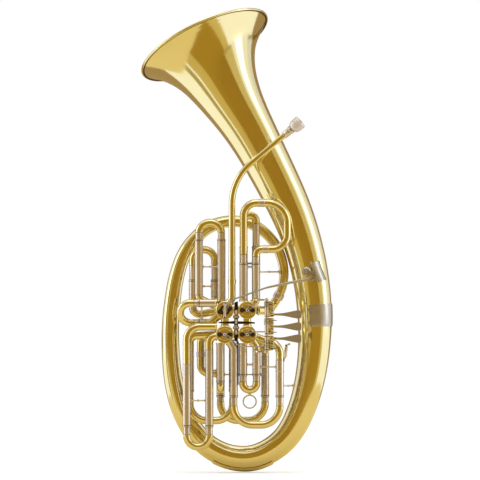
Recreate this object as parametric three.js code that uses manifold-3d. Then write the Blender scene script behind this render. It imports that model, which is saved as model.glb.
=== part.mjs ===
// A double wagner tuba: an oval of conical brass tube that ends in a leaning bell, four rotary
// valves with their lever work, and eleven tuning slides. Millimetres, +X right, +Y away from
// the player's valve side, +Z up, with zero at the lowest point of the guard under the
// bottom bow, where a stand holds the horn.
import * as THREE from "three";
import { mergeVertices } from "three/addons/utils/BufferGeometryUtils.js";
import Module from "manifold-3d";

const wasm = await Module();
wasm.setup();

// Overall sizes
const hornHeight = 820;
const bodyPlane = 14;
const bellLean = 62;
const bigWall = 0.8;
const smallWall = 0.8;
const jointGap = 0.3;
const weldDistance = 1e-4;
const angleTolerance = 1e-6;

// Small tube sizes
const legDiameter = 12;
const crookDiameter = 13.5;
const sleeveDiameter = 14.4;
const sleeveBore = 12.7;
const collarDiameter = 16;
const collarLength = 4;
const braceRod = 4;
const stepLength = 0.8;
const frontDeck = -31;
const middleDeck = -15.5;
const rearDeck = 0;

// Valve sizes
const valvePitchX = 39.4;
const valvePitchZ = 42.8;
const valveLeftX = -33;
const valveLowZ = 241;
const casingDiameter = 30;
const casingFront = -39;
const casingBack = 12;
const capDiameter = 32;
const capThickness = 3;
const stopArmReach = 7;
const changeArmReach = 7;
const corkSize = 4;
const rotorTravel = Math.PI / 2;

// Lever sizes
const axleX = 40.2;
const axleDiameter = 4;
const barrelDiameter = 7.2;
const pivotClearance = 0.4;
const leverArm = 24;
const paddleReach = 61;
const paddleWidth = 15;
const linkRod = 2.4;
const linkEyeDiameter = 7;
const linkPin = 2.4;
const eyeClearance = 0.75;

// Finishes
const lacquer = { color: 0xd9a93a, roughness: 0.22, metalness: 0.95 };
const nickel = { color: 0xb6a88c, roughness: 0.3, metalness: 0.9 };
const silver = { color: 0xd4d2cc, roughness: 0.2, metalness: 0.95 };
const steel = { color: 0x9a958a, roughness: 0.35, metalness: 0.9 };

const horn = new THREE.Group();

// Puts a finished geometry into the horn under its name.
function place(name, geometry, finish) {
  const mesh = new THREE.Mesh(geometry, new THREE.MeshStandardMaterial(finish));
  mesh.name = name;
  horn.add(mesh);
}

// Turns a closed geometry into a solid that can be joined or cut.
function toSolid(geometry) {
  const bare = geometry.index ? geometry.toNonIndexed() : geometry.clone();
  bare.deleteAttribute("normal");
  bare.deleteAttribute("uv");
  const merged = mergeVertices(bare, weldDistance);
  return new wasm.Manifold(
    new wasm.Mesh({
      numProp: 3,
      vertProperties: merged.attributes.position.array,
      triVerts: new Uint32Array(merged.index.array),
    }),
  );
}

// Turns a joined or cut solid back into a geometry.
function toGeometry(solid) {
  const mesh = solid.getMesh();
  const geometry = new THREE.BufferGeometry();
  geometry.setAttribute("position", new THREE.BufferAttribute(mesh.vertProperties, 3));
  geometry.setIndex(new THREE.BufferAttribute(mesh.triVerts, 1));
  geometry.computeVertexNormals();
  return geometry;
}

function join(...geometries) {
  const solids = geometries.map(toSolid);
  return toGeometry(solids.reduce((whole, piece) => whole.add(piece)));
}

function point(x, y, z) {
  return new THREE.Vector3(x, y, z);
}

// Rings of a swept tube: a place, a direction, and an outer and an inner radius.
// Frames are carried along the route so that the sides don't twist.
function carryFrames(rings) {
  const first = rings[0].along;
  const start = Math.abs(first.y) < Math.SQRT1_2 ? point(0, 1, 0) : point(1, 0, 0);
  let side = start.addScaledVector(first, -start.dot(first)).normalize();
  return rings.map((ring) => {
    side = side.clone().addScaledVector(ring.along, -side.dot(ring.along)).normalize();
    return { ...ring, side, up: ring.along.clone().cross(side) };
  });
}

// A tube through rings, open from end to end where its end rings have an inner radius. The
// bore skips the rings between that have none. A partial turn between two angles makes a
// plate that wraps the route.
function sweptTube(rings, sides, turn = [0, 2 * Math.PI]) {
  const frames = carryFrames(rings);
  const whole = Math.abs(turn[1] - turn[0]) > 2 * Math.PI - angleTolerance;
  const columns = whole ? sides : sides + 1;
  const outlines = frames.map((frame) => {
    const at = (radius) =>
      Array.from({ length: columns }, (_, k) => {
        const angle = turn[0] + ((turn[1] - turn[0]) * k) / sides;
        return frame.at
          .clone()
          .addScaledVector(frame.side, radius * Math.cos(angle))
          .addScaledVector(frame.up, radius * Math.sin(angle));
      });
    const outer = at(frame.outer);
    const inner = frame.inner > 0 ? at(frame.inner).reverse() : [];
    return { outer, inner };
  });
  const faces = [];
  const quad = (a, b, c, d) => faces.push(a, b, c, a, c, d);
  const wall = (rows) => {
    for (let i = 0; i + 1 < rows.length; i++) {
      const count = rows[i].length;
      for (let k = 0; k < (whole ? count : count - 1); k++) {
        const next = (k + 1) % count;
        quad(rows[i][k], rows[i][next], rows[i + 1][next], rows[i + 1][k]);
      }
    }
  };
  wall(outlines.map((o) => o.outer));
  const bore = outlines.map((o) => o.inner).filter((inner) => inner.length);
  wall(bore);
  const last = outlines.length - 1;
  const seal = (outline, centre, flip) => {
    const count = outline.outer.length;
    for (let k = 0; k < (whole ? count : count - 1); k++) {
      const next = (k + 1) % count;
      const a = outline.outer[k];
      const b = outline.outer[next];
      const rest = outline.inner.length
        ? [outline.inner[count - 1 - next], outline.inner[count - 1 - k]]
        : [centre];
      const loop = flip ? [a, b, ...rest] : [a, b, ...rest].reverse();
      faces.push(loop[0], loop[1], loop[2]);
      if (loop.length === 4) faces.push(loop[0], loop[2], loop[3]);
    }
  };
  seal(outlines[0], frames[0].at, false);
  seal(outlines[last], frames[last].at, true);
  if (!whole) {
    for (let i = 0; i < last; i++) {
      const here = outlines[i];
      const there = outlines[i + 1];
      quad(here.inner[sides], here.outer[0], there.outer[0], there.inner[sides]);
      quad(here.outer[sides], here.inner[0], there.inner[0], there.outer[sides]);
    }
  }
  const geometry = new THREE.BufferGeometry().setFromPoints(faces);
  geometry.computeVertexNormals();
  return geometry;
}

// A route of straight runs whose corners are rounded, as places with a direction.
// Each corner takes one step for about every thirty degrees that it turns.
function roundedRoute(corners, radius, stepAngle = Math.PI / 6) {
  const places = [];
  corners.forEach((corner, i) => {
    if (i === 0 || i === corners.length - 1) {
      const other = i === 0 ? corners[1] : corners[i - 1];
      const along = i === 0 ? other.clone().sub(corner) : corner.clone().sub(other);
      places.push({ at: corner.clone(), along: along.normalize() });
      return;
    }
    const before = corner.clone().sub(corners[i - 1]).normalize();
    const after = corners[i + 1].clone().sub(corner).normalize();
    const turn = before.angleTo(after);
    const here = Array.isArray(radius) ? radius[i - 1] : radius;
    const reach = here * Math.tan(turn / 2);
    const start = corner.clone().addScaledVector(before, -reach);
    const inward = after.clone().addScaledVector(before, -after.dot(before)).normalize();
    const centre = start.clone().addScaledVector(inward, here);
    const steps = Math.max(1, Math.round(turn / stepAngle));
    for (let k = 0; k <= steps; k++) {
      const angle = (turn * k) / steps;
      places.push({
        at: centre
          .clone()
          .addScaledVector(inward, -here * Math.cos(angle))
          .addScaledVector(before, here * Math.sin(angle)),
        along: before
          .clone()
          .multiplyScalar(Math.cos(angle))
          .addScaledVector(inward, Math.sin(angle)),
      });
    }
  });
  return places;
}

// A round rod or tube along a rounded route, with one outer and one inner diameter.
function rod(corners, bendRadius, diameter, bore, sides) {
  const places = roundedRoute(corners, bendRadius);
  return sweptTube(
    places.map((p) => ({ ...p, outer: diameter / 2, inner: bore / 2 })),
    sides,
  );
}

// A straight turned piece: each stop is a distance from the start and a diameter.
function turned(from, towards, stops, bore, sides) {
  const along = towards.clone().normalize();
  return sweptTube(
    stops.map(([distance, diameter], i) => ({
      at: from.clone().addScaledVector(along, distance),
      along,
      outer: diameter / 2,
      inner: i === 0 || i === stops.length - 1 ? bore / 2 : 0,
    })),
    sides,
  );
}

// The oval body. Each row is a place across and up and the tube's diameter, all as shares of
// the horn's height, from the bell's rim to the valves. Above a certain height the bell
// leans back out of the body's plane, by a step that grows with the cube of the height.
const bodyRouteShares = [
  [-0.0844, 0.9185, 0.2927],
  [-0.0792, 0.9075, 0.2610],
  [-0.0718, 0.8915, 0.2240],
  [-0.0635, 0.8740, 0.1950],
  [-0.0520, 0.8505, 0.1660],
  [-0.0365, 0.8195, 0.1440],
  [-0.0140, 0.7800, 0.1230],
  [0.0075, 0.7440, 0.1120],
  [0.0300, 0.7040, 0.1040],
  [0.0550, 0.6560, 0.0985],
  [0.0790, 0.6090, 0.0950],
  [0.1000, 0.5640, 0.0910],
  [0.1180, 0.5190, 0.0855],
  [0.1325, 0.4720, 0.0815],
  [0.1435, 0.4240, 0.0785],
  [0.1500, 0.3760, 0.0762],
  [0.1530, 0.3280, 0.0735],
  [0.1525, 0.2800, 0.0700],
  [0.1485, 0.2340, 0.0670],
  [0.1405, 0.1880, 0.0640],
  [0.1270, 0.1400, 0.0605],
  [0.1075, 0.0960, 0.0580],
  [0.0860, 0.0665, 0.0562],
  [0.0590, 0.0450, 0.0553],
  [0.0290, 0.0310, 0.0545],
  [0, 0.0268, 0.0536],
  [-0.0380, 0.0330, 0.0520],
  [-0.0770, 0.0535, 0.0500],
  [-0.1110, 0.0900, 0.0470],
  [-0.1340, 0.1330, 0.0440],
  [-0.1490, 0.1840, 0.0410],
  [-0.1560, 0.2380, 0.0390],
  [-0.1575, 0.3120, 0.0370],
  [-0.1530, 0.3670, 0.0352],
  [-0.1440, 0.4200, 0.0330],
  [-0.1290, 0.4640, 0.0310],
  [-0.1080, 0.4960, 0.0290],
  [-0.0800, 0.5210, 0.0270],
  [-0.0480, 0.5340, 0.0257],
  [-0.0155, 0.5368, 0.0246],
  [0.0190, 0.5300, 0.0235],
  [0.0450, 0.5130, 0.0226],
  [0.0660, 0.4900, 0.0217],
  [0.0800, 0.4620, 0.0210],
  [0.0865, 0.4300, 0.0203],
  [0.0840, 0.4000, 0.0196],
  [0.0750, 0.3760, 0.0190],
  [0.0615, 0.3545, 0.0184],
];
const leanStartShare = 0.3;
const bodyPoints = bodyRouteShares.map(([x, z]) => {
  const climb = Math.max(0, (z - leanStartShare) / (bodyRouteShares[0][1] - leanStartShare));
  return point(x * hornHeight, bodyPlane + bellLean * climb ** 3, z * hornHeight);
});
const bodyCurve = new THREE.CatmullRomCurve3(bodyPoints, false, "centripetal");

// The ring of the body's tube at a row number, which can lie between two rows.
function bodyRing(row, grow = 0) {
  const share = Math.min(Math.max(row / (bodyRouteShares.length - 1), 0), 1);
  const low = Math.min(Math.floor(row), bodyRouteShares.length - 2);
  const blend = row - low;
  const diameters = [low, low + 1].map((i) => bodyRouteShares[i][2] * hornHeight);
  const diameter = diameters[0] * (1 - blend) + diameters[1] * blend;
  return {
    at: bodyCurve.getPoint(share),
    along: bodyCurve.getTangent(share),
    outer: diameter / 2 + grow,
    inner: diameter / 2 + grow - bigWall,
  };
}

// A length of the body's tube through a list of rows, with a gap left for the next piece
function bodyTube(rows, sides, before = []) {
  const rings = rows.map((row) => bodyRing(row));
  const last = rings[rings.length - 1];
  last.at = last.at.clone().addScaledVector(last.along, -jointGap);
  return sweptTube(before.concat(rings), sides);
}

function rowsBetween(first, last) {
  return Array.from({ length: last - first + 1 }, (_, k) => first + k);
}

// The bell, with a rolled bead round its rim
const bellLastRow = 17;
const bellSides = 22;
const rimBead = 5;
const beadSteps = 3;
{
  const rim = bodyRing(0);
  const bead = [];
  for (let k = 0; k < beadSteps; k++) {
    const angle = Math.PI * (k / beadSteps - 1 / 2);
    bead.push({
      at: rim.at.clone().addScaledVector(rim.along, (Math.sin(angle) * rimBead) / 2),
      along: rim.along,
      outer: rim.outer + (Math.cos(angle) * rimBead) / 2,
      inner: k === 0 ? rim.inner : 0,
    });
  }
  const throat = [1, 2, 3, 4, 5, 6, 7, 8, 10, 12, 14, 16, bellLastRow];
  place("bell", bodyTube(throat, bellSides, bead), lacquer);
}

// The rest of the oval: bottom bow, left branch and the bow that comes back to the valves
const bowLastRow = 31;
const branchLastRow = 35;
const innerBowLastRow = 45;
const ferruleRows = [44.3, 44.65, innerBowLastRow, 45.3, 45.6];
place("bottom_bow", bodyTube(rowsBetween(bellLastRow, bowLastRow), 14), lacquer);
place("left_branch", bodyTube(rowsBetween(bowLastRow, branchLastRow), 12), lacquer);
{
  const rows = rowsBetween(branchLastRow, Math.floor(ferruleRows[0]));
  place("inner_bow", bodyTube(rows.concat(ferruleRows.slice(0, 3)), 10), lacquer);
}

// Valve centres, by corner of the block of four
const valves = {
  topLeft: { x: valveLeftX, z: valveLowZ + valvePitchZ },
  topRight: { x: valveLeftX + valvePitchX, z: valveLowZ + valvePitchZ },
  lowLeft: { x: valveLeftX, z: valveLowZ },
  lowRight: { x: valveLeftX + valvePitchX, z: valveLowZ },
};
const seatRadius = casingDiameter / 2 + jointGap;

// The place where a tube from a corner point, headed for a valve's axis, meets its casing
function casingSeat(valve, corner, deck = corner.y, slack = 0) {
  const away = new THREE.Vector2(corner.x - valve.x, corner.z - valve.z).normalize();
  const reach = seatRadius + slack;
  return point(valve.x + away.x * reach, deck, valve.z + away.y * reach);
}

// How far from a valve's axis a straight tube ends that runs past it by an offset
function casingReach(offset) {
  const nearest = Math.max(0, Math.abs(offset) - sleeveDiameter / 2);
  return Math.sqrt(seatRadius ** 2 - nearest ** 2);
}

// The tube from the inner bow on to the valves, with the nickel ring over its joint
const ferruleWall = 1.2;
const ferruleInset = 0.9;
{
  const last = bodyRing(bodyRouteShares.length - 1);
  const bend = last.at.clone().addScaledVector(last.along, valvePitchX / 4);
  const slack = 3.9;
  const end = casingSeat(valves.topRight, bend, rearDeck, slack);
  const rows = ferruleRows.slice(2).concat(innerBowLastRow + 1);
  const places = rows.map((row) => bodyRing(row));
  const rest = roundedRoute([last.at, bend, end], crookDiameter / 2).map((p) => ({
    ...p,
    outer: last.outer,
    inner: last.inner,
  }));
  const ferrule = ferruleRows.map((row, i) => {
    const ring = bodyRing(row, ferruleWall + jointGap);
    const inset = i < 3 ? ferruleWall : ferruleWall + ferruleInset;
    return { ...ring, inner: ring.outer - inset };
  });
  const tube = sweptTube(places.concat(rest), 10);
  place("valve_entry_tube", join(tube, sweptTube(ferrule, 10)), lacquer);
}

// Tuning slides. A slide is a pair of fixed sleeves, soldered to the valves and tied by a rod,
// and a bow whose two legs run in them.
const sleeveBend = 12;
const sleeveSides = 8;
const wallMiddle = (sleeveBore / 2 + (sleeveDiameter / 2) * Math.cos(Math.PI / sleeveSides)) / 2;

// A fixed sleeve from its collared mouth back to a valve
function sleeveTube(corners, bend = sleeveBend) {
  const places = roundedRoute(corners, bend);
  const mouth = places[0];
  const stops = [
    [0, collarDiameter],
    [collarLength, collarDiameter],
    [collarLength + stepLength, sleeveDiameter],
  ];
  const rings = stops.map(([distance, diameter], i) => ({
    at: mouth.at.clone().addScaledVector(mouth.along, distance),
    along: mouth.along,
    outer: diameter / 2,
    inner: i === 0 ? sleeveBore / 2 : 0,
  }));
  const rest = places.slice(1).map((p) => ({
    ...p,
    outer: sleeveDiameter / 2,
    inner: sleeveBore / 2,
  }));
  return sweptTube(rings.concat(rest), sleeveSides);
}

// A rod between the walls of two sleeves, or from a sleeve's wall to another piece
function braceRodBetween(from, to, startInset = wallMiddle, endInset = wallMiddle) {
  const towards = to.clone().sub(from);
  const length = towards.length();
  const along = towards.clone().normalize();
  const start = from.clone().addScaledVector(along, startInset);
  return turned(
    start,
    along,
    [
      [0, braceRod],
      [length - startInset - endInset, braceRod],
    ],
    0,
    6,
  );
}

// The bow of a slide: leg, round the corners, and leg. The legs show bare for a stretch
// outside the sleeves before the wider bow starts.
function slideBow({ mouths, out, inserted, bare, corners, bend }) {
  const bares = Array.isArray(bare) ? bare : [bare, bare];
  const [a, b] = mouths;
  const along = out.clone().normalize();
  const ends = [a, b].map((m) => m.clone().addScaledVector(along, -inserted));
  const route = roundedRoute([ends[0], ...corners, ends[1]], bend)
    .slice(1, -1)
    .filter((p, i, all) => i === 0 || p.at.distanceTo(all[i - 1].at) > 2 * stepLength);
  const ring = (at, direction, diameter, open = true) => ({
    at,
    along: direction,
    outer: diameter / 2,
    inner: open ? legDiameter / 2 - smallWall : 0,
  });
  const back = along.clone().negate();
  const steps = [a, b].map((m, i) => [
    m.clone().addScaledVector(along, bares[i]),
    m.clone().addScaledVector(along, bares[i] + stepLength),
  ]);
  return sweptTube(
    [
      ring(ends[0], along, legDiameter),
      ring(steps[0][0], along, legDiameter, false),
      ring(steps[0][1], along, crookDiameter, false),
      ...route.map((p) => ring(p.at, p.along, crookDiameter)),
      ring(steps[1][1], back, crookDiameter, false),
      ring(steps[1][0], back, legDiameter, false),
      ring(ends[1], back, legDiameter),
    ],
    sleeveSides,
  );
}

const up = point(0, 0, 1);
const down = point(0, 0, -1);
const left = point(-1, 0, 0);

// A ring to pull a slide by, on a lug under the middle of its bow
const pullRingDiameter = 24.4;
const pullRingWire = 1.8;
const pullRingLug = 4;
function pullRing(bowMiddle) {
  const top = bowMiddle.clone().addScaledVector(down, crookDiameter / 2 - smallWall / 4);
  const ring = new THREE.TorusGeometry(
    (pullRingDiameter - pullRingWire) / 2,
    pullRingWire / 2,
    5,
    16,
  );
  ring.rotateX(Math.PI / 2);
  ring.translate(top.x, top.y, top.z - pullRingLug / 2 - pullRingDiameter / 2);
  const lug = turned(
    top,
    down,
    [
      [0, pullRingLug],
      [pullRingLug / 2 + pullRingWire, pullRingLug],
    ],
    0,
    6,
  );
  return [ring, lug];
}

// One upright slide. A leg with a turn height bends there towards its valve's axis, and a leg
// without one runs straight into the casing.
function uprightSlide(spec) {
  const heading = spec.out.z;
  const mouths = spec.legs.map((leg) => point(leg.x, leg.deck, spec.mouth));
  const sleeves = spec.legs.map((leg, i) => {
    if (leg.turnAt === undefined) {
      const reach = casingReach(leg.x - leg.valve.x);
      const end = point(leg.x, leg.deck, leg.valve.z + heading * reach);
      return sleeveTube([mouths[i], end]);
    }
    const corner = point(leg.x, leg.deck, leg.turnAt);
    const side = Math.sign(leg.x - leg.valve.x) * casingReach(leg.turnAt - leg.valve.z);
    const end = leg.level
      ? point(leg.valve.x + side, leg.deck, leg.turnAt)
      : casingSeat(leg.valve, corner);
    return sleeveTube([mouths[i], corner, end], leg.bend);
  });
  const brace = mouths.map((m) => m.clone().addScaledVector(spec.out, -spec.brace));
  const extras = spec.extras ?? [];
  place(`${spec.name}_sleeves`, join(...sleeves, braceRodBetween(...brace), ...extras), nickel);
  const corners =
    spec.corners ?? mouths.map((m) => m.clone().addScaledVector(spec.out, spec.reach));
  const width = mouths[0].distanceTo(mouths[1]);
  const bend = spec.bowBend ?? (width - stepLength) / 2;
  const bow = slideBow({ ...spec, mouths, corners, bend });
  const extra = spec.pullRing ? pullRing(corners[0].clone().lerp(corners[1], 1 / 2)) : [];
  place(`${spec.name}_bow`, extra.length ? join(bow, ...extra) : bow, lacquer);
}

// The main tuning slide, whose bow makes a wide loop in front of the inner bow
const mainLeft = -0.2;
const mainRight = 21.7;
const topTurnRise = 15.2;
const mainSleeve = 68;
const mainLoopRise = 105.5;
const mainLoopLift = 24;
const mainLoopRight = 76.4;
const mainBraceDrop = 16;
const mainTieRow = 43.6;
const legClear = 8;
const topTurn = valves.topRight.z + topTurnRise;
const mainMouth = topTurn + mainSleeve;
const mainTop = mainMouth + mainLoopRise;
const mainLoopLow = mainMouth + mainLoopLift;
{
  const mainBack = bodyRing(mainTieRow);
  const from = point(mainRight, frontDeck, mainMouth - mainBraceDrop);
  const to = point(mainBack.at.x, mainBack.at.y, mainMouth - mainBraceDrop);
  const clear = mainBack.outer + jointGap;
  uprightSlide({
    name: "main_tuning_slide",
    out: up,
    mouth: mainMouth,
    legs: [
      { x: mainLeft, deck: frontDeck, valve: valves.topRight },
      { x: mainRight, deck: frontDeck, valve: valves.topRight, turnAt: topTurn },
    ],
    corners: [
      point(mainLeft, frontDeck, mainTop),
      point(mainLoopRight, frontDeck, mainTop),
      point(mainLoopRight, frontDeck, mainLoopLow),
      point(mainRight, frontDeck, mainLoopLow),
    ],
    bowBend: [23, 36, 26, 10.5],
    inserted: mainSleeve - legClear,
    bare: [81, 11],
    brace: 7,
    extras: [braceRodBetween(from, to, wallMiddle, clear)],
  });
}

const lowerLeftX = -100.1;
const rearLowX = -40.8;
const ringSlideRight = 22.4;
const uprightSlides = [
  {
    name: "rear_tuning_slide",
    out: up,
    mouth: 396,
    legs: [
      { x: mainLeft, deck: middleDeck, valve: valves.topRight },
      { x: mainRight, deck: middleDeck, valve: valves.topRight, turnAt: topTurn },
    ],
    reach: 54.5,
    inserted: 55,
    bare: 40,
    brace: 30,
  },
  {
    name: "upper_left_slide",
    out: up,
    mouth: 408.9,
    legs: [
      { x: -78.9, deck: middleDeck, valve: valves.topLeft, turnAt: 304 },
      { x: -39.2, deck: middleDeck, valve: valves.topLeft },
    ],
    reach: 29,
    inserted: 70,
    bare: 8,
    brace: 48.8,
  },
  {
    name: "rear_left_slide",
    out: up,
    mouth: 337.6,
    legs: [
      { x: -89.5, deck: rearDeck, valve: valves.topLeft, turnAt: 274 },
      { x: -50.7, deck: rearDeck, valve: valves.topLeft, turnAt: 302 },
    ],
    reach: 52.3,
    inserted: 26,
    bare: 25,
    brace: 12,
  },
  {
    name: "lower_left_slide",
    out: down,
    mouth: 77.7,
    legs: [
      {
        x: lowerLeftX,
        deck: frontDeck,
        valve: valves.lowLeft,
        turnAt: 254.7,
        bend: 23,
        level: true,
      },
      { x: -60.5, deck: frontDeck, valve: valves.lowLeft, turnAt: 236 },
    ],
    reach: 34.5,
    inserted: 70,
    bare: 13,
    brace: 47,
  },
  {
    name: "rear_low_slide",
    out: down,
    mouth: 130,
    legs: [
      { x: rearLowX, deck: rearDeck, valve: valves.lowLeft },
      { x: 37.6, deck: rearDeck, valve: valves.lowRight, turnAt: 214 },
    ],
    reach: 40.85,
    bowBend: 30,
    inserted: 45,
    bare: 8,
    brace: 40,
  },
  {
    name: "ring_slide",
    pullRing: true,
    out: down,
    mouth: 168,
    legs: [
      { x: -1.2, deck: frontDeck, valve: valves.lowRight },
      { x: ringSlideRight, deck: frontDeck, valve: valves.lowRight, turnAt: 219 },
    ],
    reach: 24.65,
    inserted: 30,
    bare: 10,
    brace: 20,
  },
  {
    name: "short_slide",
    out: down,
    mouth: 156,
    legs: [
      { x: -40.9, deck: frontDeck, valve: valves.lowLeft },
      { x: -40.9, deck: middleDeck, valve: valves.lowLeft },
    ],
    reach: 12,
    inserted: 40,
    bare: 2,
    brace: 20,
  },
];
uprightSlides.forEach(uprightSlide);

// Two wide slides at the bottom, one behind the other. Other slides hang between their
// sleeves, so the sleeves are soldered to their neighbours instead of to each other: the
// two in the middle make one pair, the rear left one is tied to the slide in front of it,
// and the front right one carries the strut to the bell's tube and the little finger's hook.
{
  const rear = { left: -94.8, right: -19, mouth: 140, turnLeft: 238, turnRight: 219 };
  const rearBow = { drop: 50.85, inserted: 50, bare: 12, bend: 30 };
  const front = { left: -17.5, right: 63.5, mouth: 130, turnLeft: 216, turnRight: 222 };
  const frontBow = { drop: 48.1, inserted: 70, bare: 14.7, bend: 33 };
  const passBend = 22;
  const passX = 38;
  const passZ = 230.5;
  const tieZ = 170;
  const strutZ = 150.6;
  const sideTieZ = 183.9;
  const hookFootZ = 196;
  const hookOut = 5.2;
  const hookRise = 22;
  const hookTip = 9;
  const hookWire = 4.6;
  const hookBends = [3, 5];
  const strutRow = 19.9;
  const touching = sleeveDiameter / 2 + jointGap;
  const rearMouths = [rear.left, rear.right].map((x) => point(x, middleDeck, rear.mouth));
  const frontMouths = [front.left, front.right].map((x) => point(x, frontDeck, front.mouth));

  const rearCorner = point(rear.left, middleDeck, rear.turnLeft);
  const rearLeft = sleeveTube([rearMouths[0], rearCorner, casingSeat(valves.lowLeft, rearCorner)]);
  const rearTie = braceRodBetween(
    point(rear.left, middleDeck, tieZ),
    point(lowerLeftX, frontDeck, tieZ),
    wallMiddle,
    touching,
  );
  place("rear_wide_slide_left_sleeve", join(rearLeft, rearTie), nickel);

  const middleCorners = [
    point(rear.right, middleDeck, rear.turnRight),
    point(front.left, frontDeck, front.turnLeft),
  ];
  const middleMouths = [rearMouths[1], frontMouths[0]];
  const middlePair = middleCorners.map((corner, i) =>
    sleeveTube([middleMouths[i], corner, casingSeat(valves.lowLeft, corner)]),
  );
  const middleTie = braceRodBetween(
    point(rear.right, middleDeck, tieZ),
    point(front.left, frontDeck, tieZ),
  );
  place("middle_sleeve_pair", join(...middlePair, middleTie), nickel);

  const rightCorner = point(front.right, frontDeck, front.turnRight);
  const passCorner = point(passX, middleDeck, passZ);
  const rightSleeve = sleeveTube(
    [frontMouths[1], rightCorner, passCorner, casingSeat(valves.lowRight, passCorner)],
    [passBend, sleeveBend],
  );
  const tube = bodyRing(strutRow);
  const strut = braceRodBetween(
    point(front.right, frontDeck, strutZ),
    point(tube.at.x, tube.at.y, strutZ),
    wallMiddle,
    tube.outer + 2 * jointGap,
  );
  const sideTie = braceRodBetween(
    point(front.right, frontDeck, sideTieZ),
    point(ringSlideRight, frontDeck, sideTieZ),
    wallMiddle,
    touching,
  );
  const hookBase = point(front.right + wallMiddle, frontDeck, hookFootZ);
  const hook = rod(
    [
      hookBase,
      hookBase.clone().add(point(hookOut, 0, 0)),
      hookBase.clone().add(point(hookOut, 0, hookRise)),
      hookBase.clone().add(point(hookOut + hookTip, 0, hookRise + hookTip / 3)),
    ],
    hookBends,
    hookWire,
    0,
    6,
  );
  place("lower_wide_slide_right_sleeve", join(rightSleeve, strut, sideTie, hook), nickel);

  const bow = (mouths, sizes) => {
    const corners = mouths.map((m) => m.clone().addScaledVector(down, sizes.drop));
    return slideBow({ ...sizes, mouths, corners, out: down });
  };
  place("rear_wide_slide_bow", bow(rearMouths, rearBow), lacquer);
  place("lower_wide_slide_bow", bow(frontMouths, frontBow), lacquer);
}

// The slide that points to the left, with its upper leg in front and its lower leg behind
{
  const mouthX = -80.8;
  const upperZ = 296.3;
  const lowerZ = 261.4;
  const turnX = -58;
  const braceX = -74;
  const bowReach = 30.8;
  const lowerBend = 10;
  const mouths = [point(mouthX, frontDeck, upperZ), point(mouthX, middleDeck, lowerZ)];
  const upperEnd = valves.topLeft.x - casingReach(upperZ - valves.topLeft.z);
  const lowerCorner = point(turnX, middleDeck, lowerZ);
  const sleeves = join(
    sleeveTube([mouths[0], point(upperEnd, frontDeck, upperZ)]),
    sleeveTube([mouths[1], lowerCorner, casingSeat(valves.topLeft, lowerCorner)], lowerBend),
    braceRodBetween(point(braceX, frontDeck, upperZ), point(braceX, middleDeck, lowerZ)),
  );
  place("side_slide_sleeves", sleeves, nickel);
  const bow = slideBow({
    mouths,
    out: left,
    inserted: 17,
    bare: 9,
    corners: mouths.map((m) => m.clone().addScaledVector(left, bowReach)),
    bend: mouths[0].distanceTo(mouths[1]) / 2 - stepLength,
  });
  place("side_slide_bow", bow, lacquer);
}

// The tube behind the lower left valve, which passes its air on to the rear low slide
{
  const passX = -75.7;
  const passTop = 237.3;
  const passLow = 172;
  const passBend = 14;
  const stubEnd = rearLowX - sleeveDiameter / 2 - jointGap;
  const first = point(passX, rearDeck, passTop);
  const corners = [
    casingSeat(valves.lowLeft, first),
    first,
    point(passX, rearDeck, passLow),
    point(stubEnd, rearDeck, passLow),
  ];
  const passBore = crookDiameter - 2 * smallWall;
  place("rear_pass_tube", rod(corners, passBend, crookDiameter, passBore, 8), lacquer);
}

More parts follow.
